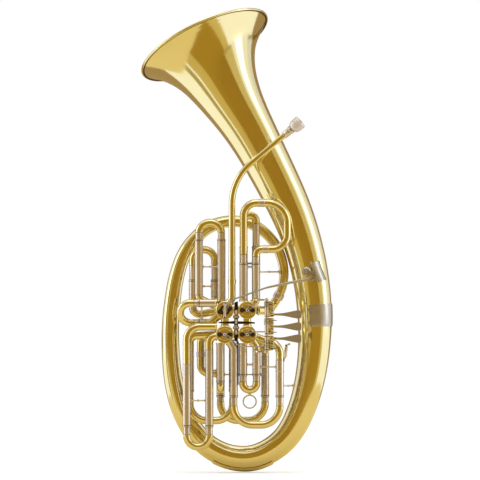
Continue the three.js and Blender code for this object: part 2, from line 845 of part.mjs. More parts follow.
// Leadpipe, its receiver and the mouthpiece
const leadpipeX = -20.6;
const leadpipeRise = 20.2;
const leadpipeBends = [8, 95, 20];
const leadpipeShares = { corner: 0.62744, top: [0.07012, 0.70732], end: [0.08634, 0.72073] };
const leadpipeDip = 2.4;
const braceSearch = { first: 4, last: 16, halvings: 24 };
const leadpipeWide = 12.6;
const leadpipeNarrow = 10;
const receiverLength = 17;
const receiverDiameter = 13;
const receiverBore = 10;
const braceAcross = 7;
{
  const first = point(leadpipeX, frontDeck, valves.topLeft.z + leadpipeRise);
  const { corner, top, end: tipShares } = leadpipeShares;
  const knee = point(leadpipeX, frontDeck, corner * hornHeight);
  const crook = point(top[0] * hornHeight, frontDeck, top[1] * hornHeight);
  const tip = point(tipShares[0] * hornHeight, frontDeck - leadpipeDip, tipShares[1] * hornHeight);
  const corners = [casingSeat(valves.topLeft, first), first, knee, crook, tip];
  const places = roundedRoute(corners, leadpipeBends, Math.PI / 16);
  const total = places[places.length - 1].at.distanceTo(places[0].at);
  const rings = places.map((p) => {
    const share = p.at.distanceTo(places[0].at) / total;
    const diameter = leadpipeWide + (leadpipeNarrow - leadpipeWide) * share;
    return { ...p, outer: diameter / 2, inner: diameter / 2 - smallWall };
  });
  // The brace stands where the bell's middle passes behind the sloping run
  let near = braceSearch.first;
  let far = braceSearch.last;
  const sideOf = (row) => {
    const middle = bodyRing(row).at;
    const across = (crook.x - knee.x) * (middle.z - knee.z);
    return Math.sign(across - (crook.z - knee.z) * (middle.x - knee.x));
  };
  const nearSide = sideOf(near);
  for (let k = 0; k < braceSearch.halvings; k++) {
    const half = (near + far) / 2;
    if (sideOf(half) === nearSide) near = half;
    else far = half;
  }
  const crossing = bodyRing(near);
  const foot = crossing.at.clone();
  foot.y = frontDeck;
  const leanHere = Math.atan2(crossing.along.y, -crossing.along.z);
  const bellFront = crossing.at.y - crossing.outer / Math.cos(leanHere);
  const brace = turned(
    point(foot.x, frontDeck + leadpipeNarrow / 2 - smallWall / 2, foot.z),
    point(0, 1, 0),
    [
      [0, braceAcross],
      [bellFront - frontDeck - leadpipeNarrow / 2 - jointGap, braceAcross],
    ],
    0,
    8,
  );
  place("leadpipe", join(sweptTube(rings, 8), brace), lacquer);

  const end = places[places.length - 1];
  const aim = end.along;
  const receiverStart = end.at.clone().addScaledVector(aim, jointGap);
  place(
    "mouthpiece_receiver",
    turned(
      receiverStart,
      aim,
      [
        [0, receiverDiameter],
        [receiverLength - collarLength, receiverDiameter],
        [receiverLength - collarLength + stepLength, receiverDiameter + 2 * stepLength],
        [receiverLength, receiverDiameter + 2 * stepLength],
      ],
      receiverBore,
      10,
    ),
    nickel,
  );

  // Places along the mouthpiece from the receiver's mouth, with outer and inner diameters
  const cupDiameter = 27.2;
  const cupLength = 24;
  const shankInside = 15;
  const mouth = receiverStart.clone().addScaledVector(aim, receiverLength);
  const cupShares = [
    [0.22, 0.38, 0.17],
    [0.32, 0.58, 0.19],
    [0.5, 0.78, 0.5],
    [0.76, 0.9, 0.66],
    [0.88, 1, 0.7],
    [1, 0.97, 0.74],
  ];
  const shank = [
    [-shankInside, 8.4, 6],
    [0, 9.2, 5],
  ];
  const stops = shank.concat(
    cupShares.map(([s, o, i]) => [s * cupLength, o * cupDiameter, i * cupDiameter]),
  );
  const cupRings = stops.map(([distance, outer, inner]) => ({
    at: mouth.clone().addScaledVector(aim, distance),
    along: aim,
    outer: outer / 2,
    inner: inner / 2,
  }));
  place("mouthpiece", sweptTube(cupRings, 12), silver);
}

// Plates that wrap the tubes: the hand guard on the bell's tube and the guard under the bow
const guardWall = 1.2;
const guardGrow = jointGap + smallWall / 4 + guardWall;
function wrapPlate(rows, from, to, sides) {
  const rings = rows.map((row) => {
    const ring = bodyRing(row, guardGrow);
    return { ...ring, inner: ring.outer - guardWall };
  });
  return sweptTube(rings, sides, [from, to]);
}
const guardBack = Math.PI / 4;
const guardFront = (Math.PI * 11) / 10;
const guardRows = [15.4, 15.9, 16.35];
place("hand_guard", wrapPlate(guardRows, guardBack, guardFront, 12), nickel);
const bowGuardHalf = (Math.PI * 2) / 9;
const lowestRow = 25;
const bowGuardRows = [23.3, 24, lowestRow, 26, 26.45];
place(
  "bow_guard",
  wrapPlate(bowGuardRows, Math.PI / 2 - bowGuardHalf, Math.PI / 2 + bowGuardHalf, 7),
  nickel,
);

// Rotary valves: a casing with short tubes to its neighbours, a cap with two corks, and a
// rotor whose stop arm turns between the corks.
const valveSides = 16;
const backCapLength = 3.5;
const shaftDiameter = 5;
const hubDiameter = 9;
const armThickness = 2.6;
const armWidth = 5;
const armClear = 0.5;
const pinHead = 4.4;
const pinHeadLength = 1;
const eyeThickness = 2.4;
const capFront = casingFront - jointGap - capThickness;
const armBack = capFront - armClear;
const armFront = armBack - armThickness;
const linkPlane = armFront - armClear - eyeThickness / 2;
const ahead = point(0, -1, 0);
const behind = point(0, 1, 0);

function box(size, at) {
  const geometry = new THREE.BoxGeometry(size.x, size.y, size.z);
  return geometry.translate(at.x, at.y, at.z);
}

// A casing, with stubs that reach to the casings on its left and above it
function casing(name, valve, stubLeft, stubUp) {
  const body = turned(
    point(valve.x, casingFront, valve.z),
    behind,
    [
      [0, casingDiameter],
      [casingBack - casingFront - backCapLength - stepLength, casingDiameter],
      [casingBack - casingFront - backCapLength, capDiameter],
      [casingBack - casingFront, capDiameter],
    ],
    0,
    valveSides,
  );
  const stub = (along, pitch) =>
    turned(
      point(valve.x, middleDeck, valve.z).addScaledVector(along, casingDiameter / 3),
      along,
      [
        [0, crookDiameter],
        [pitch - casingDiameter / 2 - casingDiameter / 3 - jointGap, crookDiameter],
      ],
      0,
      8,
    );
  const pieces = [body];
  if (stubLeft) pieces.push(stub(left, valvePitchX));
  if (stubUp) pieces.push(stub(up, valvePitchZ));
  place(`${name}_casing`, pieces.length > 1 ? join(...pieces) : body, lacquer);
}

// A cap with a hole for the rotor's shaft and a cork on each side of it. A slope turns the
// corks to suit a link that doesn't lie level.
function cap(name, valve, slope = 0) {
  const ring = turned(
    point(valve.x, casingFront - jointGap, valve.z),
    ahead,
    [
      [0, capDiameter],
      [capThickness - stepLength, capDiameter],
      [capThickness, capDiameter - 2 * stepLength],
    ],
    shaftDiameter + 2 * pivotClearance,
    valveSides,
  );
  const corkPlace = capDiameter / 4;
  const corks = [-1, 1].map((side) => {
    const size = point(corkSize, armThickness + armClear, corkSize);
    const cork = box(size, point(side * corkPlace, 0, 0)).rotateY(-slope);
    return cork.translate(valve.x, capFront - armThickness / 2, valve.z);
  });
  place(`${name}_cap`, join(ring, ...corks), lacquer);
}

// A rotor's visible end: shaft, hub, stop arm at an angle from straight up, and link pin
function rotor(name, valve, armAngle, reach) {
  const shaftLength = casingFront - 2 * jointGap - armBack;
  const shaft = turned(
    point(valve.x, casingFront - 2 * jointGap, valve.z),
    ahead,
    [
      [0, shaftDiameter],
      [shaftLength, shaftDiameter],
      [shaftLength + stepLength / 4, hubDiameter],
      [shaftLength + armThickness, hubDiameter],
      [shaftLength + armThickness + stepLength / 4, shaftDiameter],
      [shaftLength + armThickness + stepLength, shaftDiameter],
    ],
    0,
    10,
  );
  const toPin = point(Math.sin(armAngle), 0, Math.cos(armAngle));
  const armLength = reach + armWidth / 2;
  const arm = new THREE.BoxGeometry(armWidth, armThickness - stepLength / 4, armLength);
  arm.translate(0, 0, armLength / 2);
  arm.rotateY(armAngle);
  arm.translate(valve.x, (armBack + armFront) / 2, valve.z);
  const pinStart = point(valve.x, armBack - armThickness / 2, valve.z);
  pinStart.addScaledVector(toPin, reach);
  const pinLength = armThickness / 2 + 2 * armClear + eyeThickness;
  const pin = turned(
    pinStart,
    ahead,
    [
      [0, linkPin],
      [pinLength, linkPin],
      [pinLength + stepLength / 4, pinHead],
      [pinLength + pinHeadLength, pinHead],
    ],
    0,
    8,
  );
  place(`${name}_rotor`, join(shaft, arm, pin), steel);
  return point(pinStart.x, linkPlane, pinStart.z);
}

const quarter = rotorTravel / 2;
casing("top_left_valve", valves.topLeft, false, false);
casing("top_right_valve", valves.topRight, true, false);
casing("low_left_valve", valves.lowLeft, false, true);
casing("low_right_valve", valves.lowRight, true, true);
cap("top_right_valve", valves.topRight);
cap("low_left_valve", valves.lowLeft);
cap("low_right_valve", valves.lowRight);

// The turned post between the four casings
{
  const disc = 8;
  const neck = 4;
  const half = valvePitchZ / 2;
  const centre = point(
    (valves.topLeft.x + valves.topRight.x) / 2,
    (frontDeck + casingFront) / 2 + disc / 4,
    (valves.topLeft.z + valves.lowLeft.z) / 2,
  );
  const stopShares = [
    [0, 1],
    [0.08, 1],
    [0.12, 0.62],
    [0.2, 0.62],
    [0.24, 1],
    [0.3, 1],
    [0.36, neck / disc],
    [0.64, neck / disc],
    [0.7, 1],
    [0.76, 1],
    [0.8, 0.62],
    [0.88, 0.62],
    [0.92, 1],
    [1, 1],
  ];
  const stops = stopShares.map(([along, wide]) => [along * 2 * half, wide * disc]);
  place("valve_post", turned(centre.clone().addScaledVector(down, half), up, stops, 0, 8), nickel);
}

// Finger levers on one upright axle. Each has a barrel, a touch to the right and an arm to
// the back, whose upright pin drives a link to its valve.
const halfStroke = stopArmReach * Math.sin(quarter);
const leverHalf = Math.asin(halfStroke / leverArm);
const axleY = linkPlane - (leverArm * (1 + Math.cos(leverHalf))) / 2;
const leverThickness = 3;
const barrelWall = (barrelDiameter - axleDiameter - 2 * pivotClearance) / 2;
const touchThickness = 1.8;
const neckWidth = 3.4;
const linkRise = stopArmReach * (1 - Math.cos(quarter));
const springWire = 1;
const springCurls = 5;
const stepsPerCurl = 8;
const springSides = 5;

// The outline of a touch, along and across, as shares of its length and width
const touchShares = [
  [0.3, 0.12],
  [0.45, 0.16],
  [0.66, 0.32],
  [0.88, 0.5],
  [0.97, 0.44],
  [1, 0.3],
];

function fingerLever(name, barrel, touchZ, tipZ, armZ) {
  const tube = turned(
    point(axleX, axleY, barrel[0]),
    up,
    [
      [0, barrelDiameter],
      [barrel[1] - barrel[0], barrelDiameter],
    ],
    axleDiameter + 2 * pivotClearance,
    12,
  );
  const touch = new THREE.Shape();
  const inset = axleDiameter / 2 + pivotClearance + barrelWall / 2;
  touch.moveTo(inset, -neckWidth / 2);
  touchShares.forEach(([along, across]) =>
    touch.lineTo(along * paddleReach, -across * paddleWidth),
  );
  touchShares
    .slice()
    .reverse()
    .forEach(([along, across]) => touch.lineTo(along * paddleReach, across * paddleWidth));
  touch.lineTo(inset, neckWidth / 2);
  const paddle = new THREE.ExtrudeGeometry(touch, { depth: touchThickness, bevelEnabled: false });
  paddle.rotateX(Math.PI / 2);
  paddle.translate(axleX, axleY + touchThickness / 2, touchZ);
  const tip = point(
    axleX + leverArm * Math.sin(leverHalf),
    axleY + leverArm * Math.cos(leverHalf),
    tipZ,
  );
  const armLength = leverArm + linkPin - inset;
  const arm = new THREE.BoxGeometry(armWidth, armLength, leverThickness);
  arm.translate(0, inset + armLength / 2, 0);
  arm.rotateZ(-leverHalf);
  arm.translate(axleX, axleY, armZ);
  const pinTop = tipZ + eyeThickness / 2 + linkRise + armClear;
  const pin = turned(
    point(tip.x, tip.y, armZ),
    up,
    [
      [0, linkPin],
      [pinTop - armZ, linkPin],
    ],
    0,
    8,
  );
  place(`${name}_lever`, join(tube, paddle, arm, pin), nickel);
  return tip;
}

// A link from a rotor's pin to a lever's pin, with an eye at each end. A grip is a stretch
// of thicker rod next to the lever's eye.
const linkBend = 6;
function link(name, pin, tip, between, tipAlong, tipBore, tipOuter, grip) {
  const eye = (at, along, outer, bore) =>
    turned(
      at.clone().addScaledVector(along, -eyeThickness / 2),
      along,
      [
        [0, outer],
        [eyeThickness, outer],
      ],
      bore,
      10,
    );
  const pinBore = linkPin + 2 * jointGap;
  const stops = [pin, ...between, tip];
  const edge = (at, next, inner, outer) =>
    at.clone().addScaledVector(next.clone().sub(at).normalize(), (inner + outer) / 4);
  stops[0] = edge(pin, stops[1], pinBore, linkEyeDiameter);
  stops[stops.length - 1] = edge(tip, stops[stops.length - 2], tipBore, tipOuter);
  const pieces = [
    rod(stops, linkBend, linkRod, 0, 8),
    eye(pin, behind, linkEyeDiameter, pinBore),
    eye(tip, tipAlong, tipOuter, tipBore),
  ];
  if (grip) {
    const back = stops[stops.length - 2].clone().sub(tip).normalize();
    const start = tip.clone().addScaledVector(back, tipOuter / 2);
    const rings = [
      [0, grip.diameter],
      [grip.length, grip.diameter],
    ];
    pieces.push(turned(start, back, rings, 0, 8));
  }
  place(`${name}_link`, join(...pieces), nickel);
}

// A coil spring round a barrel, one unbroken wire whose ends stand straight up and down
function coilSpring(name, low, high) {
  const radius = barrelDiameter / 2 + pivotClearance + springWire / 2;
  const climb = high - low - 2 * springWire;
  const points = [];
  const count = springCurls * stepsPerCurl;
  for (let k = 0; k <= count; k++) {
    const angle = (2 * Math.PI * k) / stepsPerCurl;
    points.push(
      point(
        axleX + radius * Math.cos(angle),
        axleY + radius * Math.sin(angle),
        low + springWire + (climb * k) / count,
      ),
    );
  }
  const first = points[0].clone().addScaledVector(down, springWire);
  const last = points[count].clone().addScaledVector(up, springWire);
  const line = [first, ...points, last];
  let least = Infinity;
  points.forEach((a, i) =>
    points.slice(i + stepsPerCurl / 2).forEach((b) => {
      least = Math.min(least, a.distanceTo(b) - springWire);
    }),
  );
  console.log(`${name}: least gap between curls ${least.toFixed(2)} mm`);
  const rings = line.map((at, i) => {
    const before = line[Math.max(0, i - 1)];
    const after = line[Math.min(line.length - 1, i + 1)];
    const along = after.clone().sub(before).normalize();
    return { at, along, outer: springWire / 2, inner: 0 };
  });
  place(name, sweptTube(rings, springSides), steel);
}

const topPin = rotor("top_right_valve", valves.topRight, quarter, stopArmReach);
const middlePin = rotor("low_right_valve", valves.lowRight, quarter, stopArmReach);
const lowPin = rotor("low_left_valve", valves.lowLeft, Math.PI - quarter, stopArmReach);
const eyeToArm = eyeThickness / 2 + armClear + leverThickness / 2;
const lowLinkZ = 220.1;
const tipBore = linkPin + 2 * eyeClearance;
const leverGap = 0.6;
const barrelEnds = [213.2, 240.4, 271.2, 300];
const touchPlaceShares = [0.1875, 0.487, 0.772];
const touchZ = touchPlaceShares.map((share, i) => {
  const low = barrelEnds[2 - i];
  return low + share * (barrelEnds[3 - i] - low);
});
const topTip = fingerLever(
  "first",
  [barrelEnds[2] + leverGap / 2, barrelEnds[3]],
  touchZ[0],
  topPin.z,
  topPin.z - eyeToArm,
);
const middleTip = fingerLever(
  "second",
  [barrelEnds[1] + leverGap / 2, barrelEnds[2] - leverGap / 2],
  touchZ[1],
  middlePin.z,
  middlePin.z - eyeToArm,
);
const lowTip = fingerLever(
  "third",
  [barrelEnds[0], barrelEnds[1] - leverGap / 2],
  touchZ[2],
  lowLinkZ,
  lowLinkZ - eyeToArm - linkRise,
);
const eyeWall = 1.8;
const tipEye = tipBore + 2 * eyeWall;
const lowKnee = point(-6.5, linkPlane, lowLinkZ);
link("first", topPin, topTip, [], up, tipBore, tipEye);
link("second", middlePin, middleTip, [], up, tipBore, tipEye);
link("third", lowPin, lowTip, [lowKnee], up, tipBore, tipEye);
coilSpring("first_spring", topPin.z - eyeToArm + leverThickness / 2 + jointGap, barrelEnds[3]);
coilSpring("second_spring", touchZ[1] + neckWidth / 2 + jointGap, barrelEnds[2] - leverGap);
coilSpring(
  "third_spring",
  lowLinkZ - eyeToArm - linkRise + leverThickness / 2 + jointGap,
  touchZ[2] - neckWidth / 2 - jointGap,
);

// The frame that carries the axle: two flat arms soldered to slide sleeves
{
  const armWide = 7;
  const bossDiameter = 9;
  const flatArm = (sleeveX, z) => {
    const from = point(sleeveX, frontDeck, z);
    const to = point(axleX, axleY, z);
    const along = to.clone().sub(from).normalize();
    const start = sleeveDiameter / 2 + jointGap;
    const length = from.distanceTo(to) - start;
    const bar = new THREE.BoxGeometry(length, armWide, leverThickness);
    bar.translate(start + length / 2, 0, 0);
    bar.rotateZ(Math.atan2(along.y, along.x));
    bar.translate(from.x, from.y, z);
    const boss = turned(
      point(axleX, axleY, z - leverThickness / 2),
      up,
      [
        [0, bossDiameter],
        [leverThickness, bossDiameter],
      ],
      0,
      12,
    );
    return join(bar, boss);
  };
  const topZ = barrelEnds[3] + leverGap + leverThickness / 2;
  const lowZ = barrelEnds[0] - leverGap - leverThickness / 2;
  const axle = turned(
    point(axleX, axleY, lowZ),
    up,
    [
      [0, axleDiameter],
      [topZ - lowZ, axleDiameter],
    ],
    0,
    12,
  );
  const frame = join(flatArm(mainRight, topZ), flatArm(ringSlideRight, lowZ), axle);
  place("lever_frame", frame, nickel);
}

// The thumb lever on its post, and the long rod to the change valve
{
  const pivot = point(110, 0, 352);
  const thumbArm = 14;
  const thumbEyeBore = 6.2;
  const thumbEye = 9.2;
  const thumbHub = 11;
  const thumbHubLength = 6;
  const postDiameter = 6;
  const footDiameter = 15;
  const footThickness = 2;
  const saddle = { radius: 20, height: 36, wall: 1.6, out: 29.1, behind: 11.1, drop: 4.4 };
  const saddleTilt = Math.PI / 9;
  const saddleTurn = [(Math.PI * 19) / 36, (Math.PI * 11) / 12];
  const tieOut = 25.6;
  const tieWidth = 5;
  const grip = { length: 40, diameter: 4.2 };
  const postRow = 14.5;
  const centre = point(valves.topLeft.x, 0, valves.topLeft.z);
  const slope = Math.atan2(pivot.z - thumbArm - centre.z - changeArmReach, pivot.x - centre.x);
  const armAngle = quarter - slope;
  const pin = rotor("top_left_valve", valves.topLeft, armAngle, changeArmReach);
  cap("top_left_valve", valves.topLeft, slope);
  const thumbHalf = Math.asin((changeArmReach * Math.sin(quarter)) / thumbArm);
  const along = point(Math.cos(slope), 0, Math.sin(slope));
  const across = point(Math.sin(slope), 0, -Math.cos(slope));
  const tip = point(pivot.x, linkPlane, pivot.z)
    .addScaledVector(across, thumbArm * Math.cos(thumbHalf))
    .addScaledVector(along, thumbArm * Math.sin(thumbHalf));
  // The two pins swing apart by their arcs' heights, so the eye sits half of that to one side
  const riseApart =
    changeArmReach * (1 - Math.cos(quarter)) + thumbArm * (1 - Math.cos(thumbHalf));
  const eyeCentre = tip.clone().addScaledVector(across, riseApart / 2);
  link("change", pin, eyeCentre, [], behind, thumbEyeBore, thumbEye, grip);
  const hubBack = linkPlane + eyeThickness / 2 + armClear + thumbHubLength;
  const tube = bodyRing(postRow);
  const footBack = tube.at.y - tube.outer - jointGap;
  place(
    "thumb_post",
    turned(
      point(pivot.x, footBack, pivot.z),
      ahead,
      [
        [0, footDiameter],
        [footThickness, footDiameter],
        [footThickness + stepLength, postDiameter],
        [footBack - linkPlane + eyeThickness / 2, postDiameter],
      ],
      0,
      12,
    ),
    nickel,
  );
  const hub = turned(
    point(pivot.x, hubBack, pivot.z),
    ahead,
    [
      [0, thumbHub],
      [thumbHubLength, thumbHub],
    ],
    postDiameter + 2 * pivotClearance,
    12,
  );
  const toTip = Math.atan2(tip.x - pivot.x, -(tip.z - pivot.z));
  const hubWallMiddle = (thumbHub + postDiameter + 2 * pivotClearance) / 4;
  const armLength = thumbArm + linkPin - hubWallMiddle;
  const tie = box(
    point(tieOut - hubWallMiddle, thumbHubLength, tieWidth),
    point(
      pivot.x + (tieOut + hubWallMiddle) / 2,
      hubBack - thumbHubLength / 2,
      pivot.z - saddle.drop / 2,
    ),
  );
  const arm = new THREE.BoxGeometry(armWidth, leverThickness, armLength);
  arm.translate(0, 0, -hubWallMiddle - armLength / 2);
  arm.rotateY(-toTip);
  arm.translate(pivot.x, hubBack - thumbHubLength + leverThickness / 2, pivot.z);
  const pinBase = hubBack - thumbHubLength + leverThickness / 2;
  const thumbPin = turned(
    point(tip.x, pinBase, tip.z),
    ahead,
    [
      [0, linkPin],
      [pinBase - linkPlane + eyeThickness, linkPin],
    ],
    0,
    8,
  );
  const saddleCentre = point(
    pivot.x + saddle.out - saddle.radius * Math.cos(saddleTilt),
    linkPlane + saddle.behind,
    pivot.z - saddle.drop,
  );
  const saddleDown = point(Math.sin(saddleTilt), 0, -Math.cos(saddleTilt));
  const saddleRings = [-1, 1].map((side) => ({
    at: saddleCentre.clone().addScaledVector(saddleDown, (side * saddle.height) / 2),
    along: saddleDown,
    outer: saddle.radius,
    inner: saddle.radius - saddle.wall,
  }));
  const touch = sweptTube(saddleRings, 5, saddleTurn);
  place("thumb_lever", join(hub, arm, thumbPin, tie, touch), nickel);
}

const lowest = bodyRing(lowestRow, guardGrow);
horn.position.set(0, -bodyPlane, lowest.outer - lowest.at.z);
const group = new THREE.Group();
group.add(horn);

export default group;
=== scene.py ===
from math import asin, atan2, cos, pi, radians, sin, sqrt, tan

import bpy
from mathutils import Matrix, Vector


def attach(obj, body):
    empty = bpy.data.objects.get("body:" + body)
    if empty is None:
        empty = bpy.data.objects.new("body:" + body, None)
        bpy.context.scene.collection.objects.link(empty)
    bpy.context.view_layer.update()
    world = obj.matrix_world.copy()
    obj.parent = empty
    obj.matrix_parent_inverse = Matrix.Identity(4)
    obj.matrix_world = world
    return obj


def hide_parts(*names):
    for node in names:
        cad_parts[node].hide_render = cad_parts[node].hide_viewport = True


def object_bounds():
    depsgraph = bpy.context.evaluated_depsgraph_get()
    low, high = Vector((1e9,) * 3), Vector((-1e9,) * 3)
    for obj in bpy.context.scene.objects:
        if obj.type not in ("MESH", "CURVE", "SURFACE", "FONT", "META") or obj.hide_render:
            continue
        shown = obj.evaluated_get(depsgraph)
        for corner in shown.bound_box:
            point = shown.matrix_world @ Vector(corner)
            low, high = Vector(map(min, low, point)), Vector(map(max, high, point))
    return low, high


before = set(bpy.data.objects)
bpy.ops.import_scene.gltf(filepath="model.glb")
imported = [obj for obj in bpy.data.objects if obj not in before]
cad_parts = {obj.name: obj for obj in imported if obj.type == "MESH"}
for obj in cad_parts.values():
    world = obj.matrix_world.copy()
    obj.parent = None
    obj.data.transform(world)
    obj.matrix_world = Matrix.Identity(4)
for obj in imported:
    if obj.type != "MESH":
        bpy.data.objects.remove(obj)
cad_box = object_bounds()

# The camera looks straight at the valve side from far off through a long lens, as for a
# catalogue picture, so that the horn's height fills the frame.
metres_per_pixel = 0.001765
picture_side = 480
camera_distance = 14.0
camera_across = -0.0065
camera_height = 0.4089
sensor_width = 36


def add_object(name, data):
    """Puts a new object into the scene."""
    added = bpy.data.objects.new(name, data)
    bpy.context.scene.collection.objects.link(added)
    return added


camera = add_object("catalogue_camera", bpy.data.cameras.new("catalogue_camera"))
camera.data.sensor_width = sensor_width
camera.data.lens = sensor_width * camera_distance / (metres_per_pixel * picture_side)
camera.data.clip_end = 60
camera.location = (camera_across, -camera_distance, camera_height)
camera.rotation_euler = (pi / 2, 0, 0)
bpy.context.scene.camera = camera

# The studio is a white room with a white floor. Round the horn stand sheets of coloured board
# that only the polished metal sees. Those in front are brown in the middle, which gives each
# tube its dark core, with gold beside it, and those behind are tan.
room_light = 0.85
floor_side = 60
floor_drop = 0.0015
floor_lift = 0.24
floor_paint = (0.9, 0.9, 0.9)
board_distance = 7.6
board_height = 9.0
board_foot = -1.0
near_reach = 0.7
far_reach = 9.0
sector_steps = 24
dusk_from = 0.16
dusk_to = 0.40
white = (1.0, 1.0, 1.0)
pale = (0.95, 0.95, 0.95)
tan_back = (0.42, 0.28, 0.13)
brown_low = (0.20, 0.11, 0.03)
sand_low = (0.50, 0.38, 0.18)


def fill_sockets(tree, node, sockets):
    """Links an output of another node to a socket, or types a number or a colour into it."""
    for socket, value in sockets.items():
        if isinstance(value, bpy.types.NodeSocket):
            tree.links.new(value, node.inputs[socket])
        else:
            node.inputs[socket].default_value = (*value, 1.0) if isinstance(value, tuple) else value


def add_node(tree, kind, sockets):
    node = tree.nodes.new(kind)
    fill_sockets(tree, node, sockets)
    return node


def colour_between(tree, share, low, high, start=0.0, stop=1.0):
    """A colour that goes from one to another as a share grows."""
    fade = add_node(tree, "ShaderNodeValToRGB", {"Fac": share})
    for stage, place, colour in zip(fade.color_ramp.elements, (start, stop), (low, high)):
        stage.position = place
        stage.color = (*colour, 1.0)
    return fade.outputs["Color"]


def level_seen(tree, unseen, seen):
    """A level that is one thing to the camera, gloss and glass, and another to the rest."""
    path = add_node(tree, "ShaderNodeLightPath", {}).outputs
    first = add_node(tree, "ShaderNodeMath", {0: path["Is Camera Ray"], 1: path["Is Glossy Ray"]})
    first.operation = "MAXIMUM"
    second = add_node(tree, "ShaderNodeMath", {0: first.outputs[0], 1: path["Is Transmission Ray"]})
    second.operation = "MAXIMUM"
    level = add_node(tree, "ShaderNodeMapRange", {
        "Value": second.outputs[0], "To Min": unseen, "To Max": seen,
    })
    return level.outputs["Result"]


def matt_paint(name, paint, low_paint=None, middle=0.0):
    """A matt paint. A board may be of another paint low down, and one fades into the other."""
    matt = bpy.data.materials.new(name)
    matt.use_nodes = True
    tree = matt.node_tree
    coat = {"Base Color": paint, "Roughness": 1.0, "Specular IOR Level": 0.0}
    if low_paint:
        place = add_node(tree, "ShaderNodeTexCoord", {}).outputs["Object"]
        parts = add_node(tree, "ShaderNodeSeparateXYZ", {"Vector": place})
        rise = add_node(tree, "ShaderNodeMapRange", {
            "Value": parts.outputs["Y"], "From Min": dusk_from - middle, "From Max": dusk_to - middle,
        })
        coat["Base Color"] = colour_between(tree, rise.outputs["Result"], low_paint, paint)
    fill_sockets(tree, tree.nodes["Principled BSDF"], coat)
    return matt


def studio_sheet(name, corners, faces, centre, turn, paint, low_paint=None):
    """A sheet of the studio, either the floor or a board that stands or lies on it."""
    mesh = bpy.data.meshes.new(name)
    mesh.from_pydata(corners, [], faces)
    mesh.materials.append(matt_paint(name, paint, low_paint, centre[2]))
    sheet = add_object(name, mesh)
    sheet.location = centre
    sheet.rotation_euler = turn
    return sheet


def hide_board(board):
    """Keeps a board out of the picture and out of the plain light, so that only gloss sees it."""
    board.visible_camera = False
    board.visible_diffuse = False
    board.visible_shadow = False


def oblong(width, height):
    """The corners of a flat sheet about its middle."""
    across, rise = width / 2, height / 2
    return [(-across, -rise, 0), (across, -rise, 0), (across, rise, 0), (-across, rise, 0)]


bpy.context.scene.view_settings.view_transform = "Standard"
room = bpy.data.worlds.new("white_room")
bpy.context.scene.world = room
room.use_nodes = True
air = room.node_tree
fill_sockets(air, air.nodes["Background"], {"Color": white, "Strength": level_seen(air, room_light, 1.0)})
floor_height = cad_box[0].z - floor_drop
floor = studio_sheet(
    "studio_floor", oblong(floor_side, floor_side), [(0, 1, 2, 3)], (0, 0, floor_height), (0, 0, 0),
    floor_paint,
)
floor_tree = floor.data.materials[0].node_tree
fill_sockets(floor_tree, floor_tree.nodes["Principled BSDF"], {
    "Emission Color": white, "Emission Strength": level_seen(floor_tree, 0.0, floor_lift),
})
for name, first, last, paint, low_paint in (
    ("board_edge_left", -180, -134, tan_back, brown_low),
    ("board_side_left", -134, -114, pale, sand_low),
    ("board_line_left", -70, -58, (0.40, 0.32, 0.11), (0.74, 0.64, 0.42)),
    ("board_left", -58, -38, (0.66, 0.51, 0.20), (0.40, 0.25, 0.06)),
    ("board_middle", -38, 40, (0.43, 0.25, 0.035), (0.43, 0.27, 0.045)),
    ("board_right", 40, 64, (0.78, 0.64, 0.29), (0.50, 0.36, 0.09)),
    ("board_side_right", 114, 134, pale, sand_low),
    ("board_edge_right", 134, 180, tan_back, brown_low),
):
    turn = radians((first + last) / 2)
    middle_height = board_height / 2 + board_foot
    centre = (board_distance * sin(turn), -board_distance * cos(turn), middle_height)
    width = 2 * board_distance * tan(radians(last - first) / 2)
    corners = oblong(width, board_height)
    hide_board(studio_sheet(name, corners, [(0, 1, 2, 3)], centre, (pi / 2, 0, turn), paint, low_paint))

# The boards on the floor are sectors of a ring round the horn, and a round one lies beneath it.
for name, first, last, inner, outer, paint in (
    ("floor_board_near", -180, 180, 0.0, near_reach, (0.88, 0.72, 0.36)),
    ("floor_board_line", -70, -56, near_reach, far_reach, (0.46, 0.38, 0.13)),
    ("floor_board_left", -50, -24, near_reach, far_reach, (0.66, 0.50, 0.17)),
    ("floor_board_middle", -24, 44, near_reach, far_reach, (0.43, 0.26, 0.035)),
    ("floor_board_right", 44, 58, near_reach, far_reach, (0.68, 0.54, 0.20)),
    ("floor_board_back", 128, 232, near_reach, far_reach, (0.42, 0.29, 0.13)),
):
    turns = [radians(first + (last - first) * k / sector_steps) for k in range(sector_steps + 1)]
    corners = [(sin(turn) * reach, -cos(turn) * reach, 0) for reach in (inner, outer) for turn in turns]
    outside = sector_steps + 1
    faces = [(k, k + 1, outside + k + 1, outside + k) for k in range(sector_steps)]
    hide_board(studio_sheet(name, corners, faces, (0, 0, cad_box[0].z), (0, 0, 0), paint))

# Three soft boxes, one on each side and one above, give the white room its gentle shading.
box_long = 5.0
for name, place, width, power in (
    ("soft_box_left", (-5.8, -0.5, 1.6), 2.0, 46),
    ("soft_box_right", (5.8, -0.5, 1.6), 2.0, 46),
    ("soft_box_above", (0.0, -0.6, 5.0), 3.0, 30),
):
    lamp = bpy.data.lights.new(name, "AREA")
    lamp.shape = "RECTANGLE"
    lamp.size = width
    lamp.size_y = box_long
    lamp.energy = power
    box = add_object(name, lamp)
    box.location = place
    box.rotation_euler = (Vector((0, 0, 0.4)) - box.location).to_track_quat("-Z", "Y").to_euler()
    box.visible_camera = False

# The bell and the throat below it are one long cone of yellow brass, hammered and spun on a
# mandrel, bent to its curve, and edged with a wire that is rolled into the rim.
horn_height = 820
body_plane = 14
stand_lift = 1.7
bell_lean = 62
lean_start = 0.3
big_wall = 0.8
bell_last_row = 17
bell_sides = 96
rim_wire = 4.4
bead_steps = 12
fair_reach = 0.9
fair_steps = 6
fair_fade = 3
sharp_edge = radians(38)
